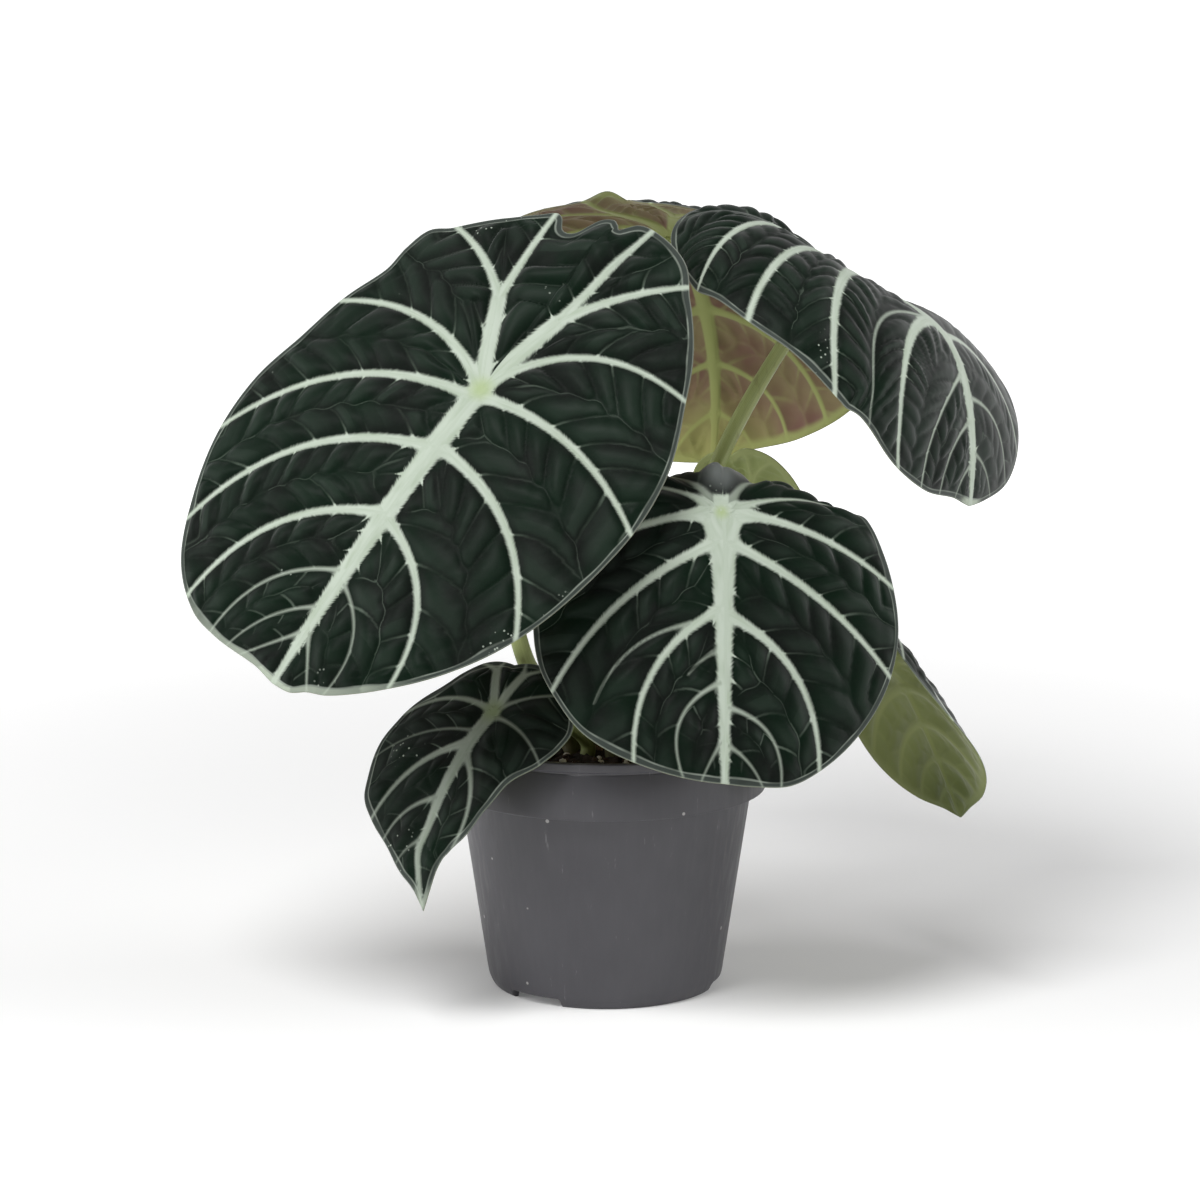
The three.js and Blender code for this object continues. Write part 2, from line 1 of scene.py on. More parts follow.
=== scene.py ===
"""Looks of a potted ninja alocasia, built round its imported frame.

Lengths are millimetres in the frame's axes, and MM turns them into metres. The pot's axis is the
Z axis, its feet stand on Z = 0, and the viewer stands on the -Y side.
"""
import math

import bmesh
import bpy
import numpy as np
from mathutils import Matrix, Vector


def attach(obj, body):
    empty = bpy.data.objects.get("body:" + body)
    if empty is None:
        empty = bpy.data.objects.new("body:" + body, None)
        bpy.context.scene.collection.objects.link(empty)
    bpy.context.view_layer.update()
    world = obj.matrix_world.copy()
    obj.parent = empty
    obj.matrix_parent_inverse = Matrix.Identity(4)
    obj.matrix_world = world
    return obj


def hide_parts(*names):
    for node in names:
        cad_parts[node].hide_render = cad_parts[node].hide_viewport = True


MM = 0.001
BODY = "root"

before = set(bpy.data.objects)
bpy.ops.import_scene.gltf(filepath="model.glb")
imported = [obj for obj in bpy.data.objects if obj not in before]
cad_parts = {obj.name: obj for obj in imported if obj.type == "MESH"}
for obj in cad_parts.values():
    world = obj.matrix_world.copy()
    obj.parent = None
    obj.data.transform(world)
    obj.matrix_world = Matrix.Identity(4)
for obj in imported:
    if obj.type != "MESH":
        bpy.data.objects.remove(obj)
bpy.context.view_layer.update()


# Blades

# Thickness, the dimple and the thick middle at the hub, and how far the midrib is walked
BLADE = 0.9
HUB_DIMPLE = 1.2
HUB_SPREAD = 60
MIDRIB_DEPTH = 2.2
MIDRIB_FROM = -120
MIDRIB_TO = 180
MIDRIB_STEP = 0.5

# Spacing of the mesh on large and small blades, how far the rounded margin stands out, the least
# curl that counts as none, and how far from the tip the margin is pale unless the leaf says so
LARGE_WIDTH = 50
LARGE_CELL = 1.3
SMALL_CELL = 1.1
RIM_BULGE = 0.25
LEAST_CURL = 1e-6
PALE_TIP = 12

# The margin of half a blade whose tip is 1 away from the hub: [degrees from the tip, radius]
EDGE = [[0, 1], [8, 0.95], [20, 0.92], [35, 0.86], [50, 0.78], [70, 0.66],
        [90, 0.58], [110, 0.55], [130, 0.58], [150, 0.61], [168, 0.58], [180, 0.5]]

# Main veins of that half: [s, degrees at the margin, bow, width in mm]
VEINS = [[0.82, 9, -0.1, 1.2], [0.64, 17, -0.16, 1.6], [0.42, 27, -0.15, 2.6], [0.2, 42, -0.14, 3.4],
         [0.03, 62, -0.17, 3.8], [0, 100, -0.15, 3.4]]


def edge(reach, breadth):
    """The margin scaled to a reach in mm, and made broader or slimmer."""
    return [[angle, reach * radius * (1 + (breadth - 1) * math.sin(math.radians(angle)))]
            for angle, radius in EDGE]


def veins(reach):
    """The main veins scaled to a reach in mm."""
    return [[s * reach, angle, bow, width] for s, angle, bow, width in VEINS]


def rib(reach, width):
    """The hind rib and its two forks, scaled to a reach in mm."""
    return dict(angle=160, length=0.27 * reach, width=width, outer=[143, -0.06], inner=[168, 0.03])


# Each leaf lies in flat leaf coordinates first: x to the leaf's right, s along the midrib, both
# from the hub where the stalk meets the blade, s growing towards the tip.
#   hub      where the hub is
#   face     where the upper face looks: degrees right of the viewer, degrees above the horizon
#   spin     degrees that the tip is turned from straight downhill, towards the leaf's right
#   width    half width that the curls refer to
#   slope    [s, degrees] that the midrib has bent down from its direction at the hub
#   twist    [s, degrees] that the blade has turned about its midrib, its right half down
#   right, left: one half of the blade each
#     edge   [degrees from the tip, radius] of the margin, as far as the notch at 180
#     curl   [s, degrees] that the half has bent down at the reference width
#     veins  [s, degrees at the margin, bow, width] of each main vein, from the tip to the hub
#     threads [x, s, x, s, bow, width] of thin veins that divide no panel: both ends first
#     rib    the hind rib: its direction, length and width, the [degrees at the margin, bow] of
#            its outer and inner fork, and how pale both are or the inner one is
#     relief share of the height of pleats and quilting
#   midrib   [s, width] of its pale band
#   sway     [s, x] where the midrib lies off the line from hub to tip
#   bumps    [x, s, radius, height, share of grey] of local bulges
#   web      mm that the pale colour spreads over the blade at the hub
#   dull     share of the veins' pale colour, lowered on d partly as painted shade
#   hub_tint size of the yellow green spot on the hub, as a share of its usual size
#   pleat    height of the fold between main veins
#   quilt    height and spacing of the small cells between secondary veins
#   pale_tip how far from the tip the margin is pale
#   stalk    waypoints from the blade down to the soil
#   base     direction of the stalk's foot round the rootstock
#   skin     which underside the blade has
LEAVES = {
    "a": dict(
        hub=[-44.4, -50, 230.6], face=[-18, 34], spin=28.5, width=75,
        slope=[[-80, -8], [0, 0], [130, 14]],
        right=dict(
            edge=[[0, 128], [5, 126.7], [14, 129.7], [20, 131], [29, 127], [40, 115.5], [52, 104],
                  [64, 92], [77, 79], [94, 71.5], [107, 68], [116, 71.5], [124, 74], [131, 71],
                  [148, 70.9], [157, 72.7], [162, 74.5], [164.2, 73], [166, 68.5], [169, 67.5],
                  [172, 69.6], [175, 77], [178, 79.6], [180, 78.5]],
            curl=[[-60, 12], [120, 12]],
            veins=[[106, 8, 0, 1.3], [96, 11, -0.1, 1.2], [81, 15, -0.16, 1.5], [56, 23, -0.15, 3.6],
                   [27, 36, -0.14, 3.8], [4, 53, -0.135, 3.8], [0, 91, -0.14, 4.2]],
            rib=dict(angle=151, length=36, width=5.2, outer=[132, -0.07], inner=[162, 0.01]),
        ),
        left=dict(
            edge=[[0, 128], [3.4, 127.4], [6, 124.5], [9.3, 122.7], [15, 117.8], [22, 112],
                  [37, 101.3], [56, 89.4], [69, 83.6], [83, 80], [97, 77.3], [117, 74.4], [130, 76],
                  [150, 80.7], [158, 85.1], [164, 86], [173, 84.8], [176, 83], [177.5, 80],
                  [178.7, 77.2], [180, 78.5]],
            curl=[[-60, 12], [120, 12]],
            veins=[[104, 6, 0, 1.4], [84, 9, -0.2, 1.2], [57, 20, -0.19, 3.4], [26, 45, -0.15, 4.2],
                   [3, 80, -0.11, 4], [0, 120, -0.18, 3.6]],
            rib=dict(angle=168, length=36, width=5.6, outer=[153, -0.05], inner=[172, 0]),
        ),
        midrib=[[0, 8.2], [20, 8.6], [60, 7.4], [90, 5.6], [127, 2.4]], bumps=[[0, -66, 9, 4, 0]],
        pale_tip=60, dull=0.94,
        pleat=1.6, quilt=[1.6, 12.5],
        stalk=[[-39, -38, 182], [-29.5, -29, 129], [-19, -13, 108]], base=200, skin="red",
    ),
    "b": dict(
        hub=[85, 10, 267], face=[73.9, 61.3], spin=-3.5, width=66,
        slope=[[-80, -70], [-45, -22], [-25, 2], [0, 0], [30, 1.5], [60, 42.4], [90, 59.4], [125, 70.1]],
        twist=[[-60, -10], [0, -22], [40, -1.4], [80, 16.6], [112, 17.8]],
        right=dict(
            edge=[[0, 112], [8, 107.4], [20, 106.5], [35, 102.7], [50, 96.6], [70, 82.5], [90, 75.5],
                  [110, 71], [130, 74], [150, 72], [168, 60], [180, 50]],
            curl=[[-60, 92], [20, 56], [70, 11], [112, 0.3]],
            veins=[[96, 7, -0.1, 1.3], [80, 14, -0.14, 1.6], [62, 22, -0.16, 2], [39.2, 32.3, -0.32, 4.6],
                   [9.2, 70.8, -0.13, 5], [0, 99.8, -0.124, 4.6]],
            threads=[[2, 38.5, 73, 63.5, -0.33, 1.6]],
            rib=dict(angle=155, length=30, width=5, outer=[126, -0.05], inner=[162, -0.06],
                     inner_pale=0.08),
        ),
        left=dict(
            edge=[[0, 112], [8, 112.8], [20, 115], [35, 111.8], [50, 100.4], [70, 82.7], [90, 69.8],
                  [110, 62.3], [130, 61.3], [150, 60.9], [168, 58.3], [180, 50]],
            curl=[[-60, 36], [20, 23.6], [45, 32], [75, 29], [95, 22], [112, 14]],
            veins=veins(112), rib=rib(98, 4), relief=0.4,
        ),
        midrib=[[0, 6], [36, 6.5], [60, 6.5], [90, 5], [112, 3]], bumps=[], pleat=0.9, quilt=[1.3, 8.6],
        stalk=[[63.9, 9, 235.8], [40.2, 6, 191.8], [22, 3, 130]], base=10, skin="red",
    ),
    "c": dict(
        hub=[41, -65, 188.6], face=[12, 24], spin=3, width=65,
        slope=[[-45, -110], [-23, -85], [-9, -33], [0, 0], [100, 10]],
        right=dict(
            edge=[[0, 96], [15, 94.5], [32, 93], [42, 89], [51, 85], [62, 77], [75, 66], [90, 56],
                  [115, 48], [140, 46], [165, 44], [180, 36]],
            curl=[[-30, -40], [0, 22], [100, 22]],
            veins=[[80, 5, -0.03, 1.1], [60, 9, -0.24, 1.5], [34, 20, -0.16, 3.2], [10, 44, -0.09, 3.6],
                   [0, 68, -0.09, 3.2], [0, 102, -0.11, 2.2]],
            threads=[[12.5, 40, 46, 68, -0.14, 1.2], [4, 50, 13, 58, -0.05, 1]],
            rib=dict(angle=142, length=24, width=1.1, outer=[128, -0.05], inner=[160, 0.05], pale=0.55),
        ),
        left=dict(
            edge=[[0, 96], [7, 97.8], [14, 99.6], [21, 98], [33, 93.5], [46, 87.5], [57, 80.5],
                  [69, 70.8], [79, 63.7], [87, 59], [100, 51], [120, 46], [145, 46], [165, 44], [180, 36]],
            curl=[[-25, 52], [0, 24], [100, 20]],
            veins=[[82, 8, -0.09, 1.2], [69, 12, -0.21, 1.5], [36, 21, -0.16, 3.4], [10, 48, -0.06, 3.6],
                   [0, 69, -0.08, 3.4], [0, 102, -0.03, 2.2]],
            rib=dict(angle=142, length=24, width=1.1, outer=[128, -0.05], inner=[160, 0.05], pale=0.55),
        ),
        midrib=[[0, 11], [18, 8.8], [30, 7.2], [50, 5.6], [70, 4.4], [95, 2.8]],
        bumps=[[0, -13.5, 6, 5.5, 1]], web=3.6, pale_tip=2, hub_tint=0.55,
        pleat=1.6, quilt=[1.6, 12.5],
        stalk=[[30, -36, 165], [14, -20, 120]], base=285, skin="red",
    ),
    "d": dict(
        hub=[-40.7, -52, 114.3], face=[-30, 38], spin=5.5, width=36,
        slope=[[-30, -10], [0, 0], [80, 20]],
        right=dict(
            edge=[[0, 76.8], [1.4, 74.8], [5.6, 70.3], [12, 67], [22, 62], [34, 60], [44, 58.5],
                  [51, 54.5], [64, 47.5], [75, 39.5], [99, 26.5], [122, 22.5], [150, 21], [180, 19]],
            curl=[[-30, 10], [80, 10]],
            veins=[[66, 4, 0, 0.9], [52, 15, -0.1, 1.1], [36, 24.5, -0.14, 1.8], [13.7, 34.5, -0.12, 2.9],
                   [9, 58, -0.1, 1.1], [0, 77.5, -0.14, 2.3]],
            rib=rib(60, 2.6),
        ),
        left=dict(
            edge=[[0, 76.8], [0.8, 62], [3.8, 54.5], [9.5, 48], [18, 38.5], [35, 29.7], [61, 29.3],
                  [78, 30.8], [91, 32], [110, 30], [140, 26], [180, 19]],
            curl=[[-20, 10], [30, 40], [80, 60]],
            veins=[[17, 5, -0.135, 2.2], [2, 60, -0.12, 1.6], [0, 116, -0.06, 1.6]],
            rib=rib(60, 2.6),
        ),
        midrib=[[0, 5.6], [30, 4.4], [50, 3.2], [77, 1.4]],
        sway=[[0, 0], [14.5, 3.4], [31, 6.5], [47, 7.7], [57, 8.6], [68, 4.3], [76.8, 0]],
        # d's veins are dulled partly for their own duller tint and partly as painted shade from the leaves
        # above
        bumps=[], pleat=1.2, quilt=[0.9, 10], dull=0.55,
        stalk=[[-19, -26, 105]], base=240, skin="olive",
    ),
    "e": dict(
        hub=[26.7, 118, 266.4], face=[163.1, 59.3], spin=5, width=60,
        slope=[[-70, -19.5], [-30, -15.8], [0, 0], [50, 33.6], [100, 76.5]],
        right=dict(
            edge=[[0, 111], [8, 107.2], [20, 107.8], [35, 107.1], [50, 101.5], [70, 85.2], [90, 70.9],
                  [110, 62.1], [130, 61], [150, 62.9], [168, 62.4], [180, 52.5]],
            curl=[[-60, 17], [0, 42], [50, 25.8], [100, 11.4]],
            veins=veins(111), rib=rib(100, 4),
        ),
        left=dict(
            edge=[[0, 111], [8, 112.4], [20, 115], [35, 112], [50, 101.1], [70, 86.3], [90, 77.1],
                  [110, 72.7], [130, 73.9], [150, 73.4], [168, 64], [180, 52.5]],
            curl=[[-60, 24.5], [0, 27], [50, 26], [100, 24.7]],
            veins=veins(111), rib=rib(111, 4),
        ),
        midrib=[[0, 6.5], [60, 5], [111, 2]], bumps=[[-5, -58.5, 7.5, 4.5, 1]], pleat=1.6, quilt=[1.3, 11],
        stalk=[[17, 80, 225], [9, 45, 165], [1, 19, 118]], base=95, skin="red",
    ),
    "f": dict(
        hub=[104.1, -12, 126.3], face=[127, 26], spin=14, width=36,
        slope=[[-40, -10.4], [0, 0], [70, 12.5]],
        right=dict(edge=edge(67, 1), curl=[[-20, 55], [60, 8]], veins=veins(67), rib=rib(67, 2.4)),
        left=dict(edge=edge(67, 1), curl=[[-20, -2], [60, 15]], veins=veins(67), rib=rib(67, 2.4)),
        midrib=[[0, 3.6], [67, 1.4]], bumps=[], pleat=1.2, quilt=[0.7, 9],
        stalk=[[72, -12, 122], [40, -10, 113]], base=-30, skin="olive",
    ),
    "g": dict(
        hub=[54, 34, 172], face=[154.9, 20.7], spin=5.2, width=36,
        slope=[[-40, -22.5], [0, 0], [70, 19.8]],
        right=dict(edge=edge(50.5, 1), curl=[[-20, 25.8], [60, 20]], veins=veins(50.5), rib=rib(50.5, 2)),
        left=dict(edge=edge(50.5, 0.8), curl=[[-20, 60], [60, 20]], veins=veins(50.5), rib=rib(44, 2)),
        midrib=[[0, 3.2], [50, 1.2]], bumps=[], pleat=1.2, quilt=[0.7, 8.5],
        # Its light underside carries painted light shining through the shaded blade
        stalk=[[36, 20, 143], [20, 13, 113]], base=50, skin="light",
    ),
}


def smooth(knots, at):
    """Smooth curve through [place, value] pairs, level past both ends."""
    places, values = np.array(knots, float).T
    last = len(places) - 1
    at = np.clip(at, places[0], places[-1])
    i = np.clip(np.searchsorted(places, at, side="right") - 1, 0, last - 1)
    low = np.maximum(np.arange(last + 1) - 1, 0)
    high = np.minimum(np.arange(last + 1) + 1, last)
    slope = (values[high] - values[low]) / (places[high] - places[low])
    span = places[i + 1] - places[i]
    u = (at - places[i]) / span
    v = 1 - u
    ends = (1 + 2 * u) * v * v * values[i] + u * u * (3 - 2 * u) * values[i + 1]
    return ends + u * v * span * (v * slope[i] - u * slope[i + 1])


def ramp(low, high, value):
    """0 below low, 1 above high, smooth between."""
    u = np.clip((value - low) / (high - low), 0, 1)
    return u * u * (3 - 2 * u)


def bezier(start, middle, end, t):
    """Points at the shares t of a quadratic curve."""
    return (1 - t) ** 2 * start + 2 * (1 - t) * t * middle + t * t * end


def steps_along(path):
    """The length of each step of a flat path."""
    return np.hypot(*np.diff(path, axis=0).T)


class Surface:
    """A blade's shape in space: places of x, s and the height above its middle surface."""

    def __init__(self, leaf):
        turn, rise = np.radians(leaf["face"])
        self.leaf = leaf
        self.hub = np.array(leaf["hub"], float)
        self.normal = np.array([np.sin(turn) * np.cos(rise), -np.cos(turn) * np.cos(rise), np.sin(rise)])
        downhill = np.array([np.sin(turn) * np.sin(rise), -np.cos(turn) * np.sin(rise), -np.cos(rise)])
        level = np.cross(downhill, self.normal)
        spin = np.radians(leaf["spin"])
        self.forward = np.cos(spin) * downhill + np.sin(spin) * level
        self.right = np.cross(self.forward, self.normal)

        # The midrib, walked in short steps both ways from the hub
        self.stations = np.arange(MIDRIB_FROM, MIDRIB_TO + MIDRIB_STEP, MIDRIB_STEP)
        angle = np.radians(smooth(leaf["slope"], self.stations[:-1] + MIDRIB_STEP / 2))
        origin = int(np.argmin(abs(self.stations)))
        along = np.concatenate([[0], np.cumsum(MIDRIB_STEP * np.cos(angle))])
        down = np.concatenate([[0], np.cumsum(MIDRIB_STEP * np.sin(angle))])
        self.along = along - along[origin]
        self.down = down - down[origin]

    def place(self, x, s, height):
        """Places in space of flat points at a height over the middle surface."""
        leaf = self.leaf
        along = np.interp(s, self.stations, self.along)
        down = np.interp(s, self.stations, self.down)
        bend = np.radians(smooth(leaf["slope"], s))
        up = np.cos(bend)[:, None] * self.normal + np.sin(bend)[:, None] * self.forward
        degrees = np.where(x < 0, smooth(leaf["left"]["curl"], s), smooth(leaf["right"]["curl"], s))
        curl = np.radians(degrees) / leaf["width"]
        curl = np.where(abs(curl) < LEAST_CURL, LEAST_CURL, curl)
        side = np.where(x < 0, -1.0, 1.0)
        first = side * np.radians(smooth(leaf["twist"], s)) if "twist" in leaf else np.zeros(len(s))
        angle = first + curl * abs(x)
        raised = height + 0
        for bump_x, bump_s, radius, tall, _ in leaf["bumps"]:
            raised = raised + tall * np.exp(-((x - bump_x) ** 2 + (s - bump_s) ** 2) / radius ** 2)
        out = (np.sin(angle) - np.sin(first)) / curl + raised * np.sin(angle)
        drop = (np.cos(first) - np.cos(angle)) / curl
        return (self.hub
                + along[:, None] * self.forward
                - down[:, None] * self.normal
                + (side * out)[:, None] * self.right
                + (raised * np.cos(angle) - drop)[:, None] * up)


def bowed(half, start, angle, bow, t):
    """Flat points at the shares t of bowed lines from their starts to the margin."""
    start = np.asarray(start, float)
    reach = smooth(half["edge"], angle)
    end = np.stack([reach * np.sin(np.radians(angle)), reach * np.cos(np.radians(angle))], -1)
    end[..., 0] = np.where(np.asarray(angle) >= 180, 0, end[..., 0])
    way = end - start
    sideways = np.stack([-way[..., 1], way[..., 0]], -1)
    middle = (start + end) / 2 + 2 * np.asarray(bow)[..., None] * sideways
    return bezier(start, middle, end, np.asarray(t)[..., None])


def sway(leaf, side, s):
    """How far the midrib lies off the line from hub to tip, towards the outside of a half."""
    off = smooth(leaf["sway"], s) if "sway" in leaf else np.zeros(np.shape(s))
    return off if side == "right" else -off


def lobe(leaf, side):
    """The lines that bound the panels of half a blade: [start, degrees, bow], from tip to notch."""
    half = leaf[side]
    rib = half["rib"]
    way = np.array([math.sin(math.radians(rib["angle"])), math.cos(math.radians(rib["angle"]))])
    fork = list(rib["length"] * way)
    lines = [[[0, half["edge"][0][1]], 0, 0]]
    lines += [[[float(sway(leaf, side, s)), s], angle, bow] for s, angle, bow, width in half["veins"]]
    lines += [[fork, *rib["outer"]], [fork, *rib["inner"]], [[0, 0], 180, 0]]
    return lines


def half_rows(leaf, side, stations, cell):
    """Rows of half a blade from the tip to the notch: start, angle, bow, panel, place in the panel."""
    half = leaf[side]
    lines = lobe(leaf, side)
    starts = [line[0][1] for line in lines]
    first_on_hub = next(i for i in range(1, len(lines)) if starts[i] <= 0)
    rows = []

    def push(panel, f):
        (x0, s0), angle0, bow0 = lines[panel]
        (x1, s1), angle1, bow1 = lines[panel + 1]
        start = [x0 + (x1 - x0) * f, s0 + (s1 - s0) * f]
        if panel < first_on_hub:
            start[0] = float(sway(leaf, side, start[1]))
        rows.append([start, angle0 + (angle1 - angle0) * f, bow0 + (bow1 - bow0) * f, panel, f])

    for s in stations:
        panel = max(i for i in range(first_on_hub) if starts[i] >= s or i == 0)
        if starts[panel] == s and panel > 0:
            panel -= 1
        push(panel, (starts[panel] - s) / (starts[panel] - starts[panel + 1]))
    counts = {}
    for panel in range(first_on_hub, len(lines) - 1):
        turn = abs(lines[panel + 1][1] - lines[panel][1])
        arc = math.radians(turn) * smooth(half["edge"], lines[panel][1])
        shift = math.dist(lines[panel][0], lines[panel + 1][0])
        counts[panel] = max(2, math.ceil(max(arc, shift) / cell))
    # Beside the hind rib the rows of both panels start from the same places on it
    last = len(lines) - 2
    counts[last] = counts[last - 2] = max(counts[last], counts[last - 2])
    for panel, count in counts.items():
        for i in range(1, count + 1):
            push(panel, i / count)
    return rows, lines


def midrib_stations(leaf, cell):
    """Where rows leave the midrib: on every main vein, and close enough between for both halves."""
    marks = {leaf["right"]["edge"][0][1], 0}
    for side in ("right", "left"):
        marks.update(vein[0] for vein in leaf[side]["veins"])
    marks = sorted(marks, reverse=True)
    stations = []
    for high, low in zip(marks, marks[1:]):
        arcs = [high - low]
        for side in ("right", "left"):
            half = leaf[side]
            lines = lobe(leaf, side)[:len(half["veins"]) + 1]
            s, angle = np.array([[line[0][1], line[1]] for line in lines]).T
            first_hub = int(np.argmax(s <= 0)) + 1
            turn = np.interp([-high, -low], -s[:first_hub], angle[:first_hub])
            arcs.append(math.radians(turn[1] - turn[0]) * float(smooth(half["edge"], turn.mean())))
        count = max(1, math.ceil(max(arcs) / cell))
        stations += [high + (low - high) * i / count for i in range(count)]
    return stations + [0]


VEIN_FOOT = 6


def vein_paths(leaf, side):
    """Pale veins of half a blade: flat points, half width at each point, how pale.

    The midrib comes first, then the veins from tip to hub, then both forks with the hind rib, and
    last the thin threads that divide no panel.
    """
    half = leaf[side]
    reach = half["edge"][0][1]
    t = np.linspace(0, 1, 25)
    s = np.linspace(0, reach, 60)
    paths = [(np.stack([sway(leaf, side, s), s], -1), smooth(leaf["midrib"], s) / 2, 1)]

    def vein(points, base):
        """A vein that widens at its foot and thins to its end; a thin one is less pale."""
        share = np.linspace(0, 1, len(points))
        foot = np.exp(-share * steps_along(points).sum() / VEIN_FOOT)
        width = base * (1 + 0.5 * foot) * (1 - 0.55 * share)
        paths.append((points, width / 2, min(1, 0.35 + 0.25 * base)))

    for s0, angle, bow, base in half["veins"]:
        start = [float(sway(leaf, side, s0)), s0]
        vein(bowed(half, start, angle, bow, t), base)
    rib = half["rib"]
    fork = lobe(leaf, side)[len(half["veins"]) + 1][0]
    pale = rib.get("pale", 1)
    for (angle, bow), shown in ((rib["outer"], pale), (rib["inner"], rib.get("inner_pale", pale))):
        stem = np.outer(np.linspace(0, 1, 10)[:-1], fork)
        points = np.vstack([stem, bowed(half, fork, angle, bow, t)])
        along = np.concatenate([[0], np.cumsum(steps_along(points))])
        share = np.maximum(along - rib["length"], 0) / (along[-1] - rib["length"])
        width = rib["width"] * (1 - 0.25 * (share > 0)) * (1 - 0.5 * share)
        paths.append((points, width / 2, shown))
    for x0, s0, x1, s1, bow, base in half.get("threads", []):
        way = np.array([x1 - x0, s1 - s0])
        middle = np.array([x0, s0]) + way / 2 + 2 * bow * np.array([-way[1], way[0]])
        vein(bezier(np.array([x0, s0]), middle, np.array([x1, s1]), t[:, None]), base)
    return paths


def distance_to_path(points, path):
    """Distance of flat points to a polyline, the share of its length there and the side."""
    best = np.full(len(points), 1e9)
    where = np.zeros(len(points))
    side = np.zeros(len(points))
    for i in range(len(path) - 1):
        a, b = path[i], path[i + 1]
        way = b - a
        size = way @ way
        if size < 1e-9:
            continue
        f = np.clip(((points - a) @ way) / size, 0, 1)
        gap = points - a - f[:, None] * way
        d = np.hypot(gap[:, 0], gap[:, 1])
        closer = d < best
        best = np.where(closer, d, best)
        where = np.where(closer, (i + f) / (len(path) - 1), where)
        side = np.where(closer, np.sign(way[0] * gap[:, 1] - way[1] * gap[:, 0]), side)
    return best, where, side


# The distance of a vein that a panel doesn't have, and how softly pale veins join
FAR = 1000.0
BLEND = 0.7

# Secondary veins on each side of a vein: how many, where the first may lie, and how uneven
MARKS = 70
FIRST_MARK = -60
SPACINGS = (0.68, 1.32)

# Shifts that give each vein, each side of it and each half of a blade a pattern of its own
VEIN_SHIFT = 90
SIDE_SHIFT = 700
HALF_SHIFT = 2000
LEFT_PANELS = 10.0

# The pale spread round a hub: half its size both ways, and where it lies
WEB_ACROSS = 9
WEB_ALONG = 6
WEB_CENTRE = 2


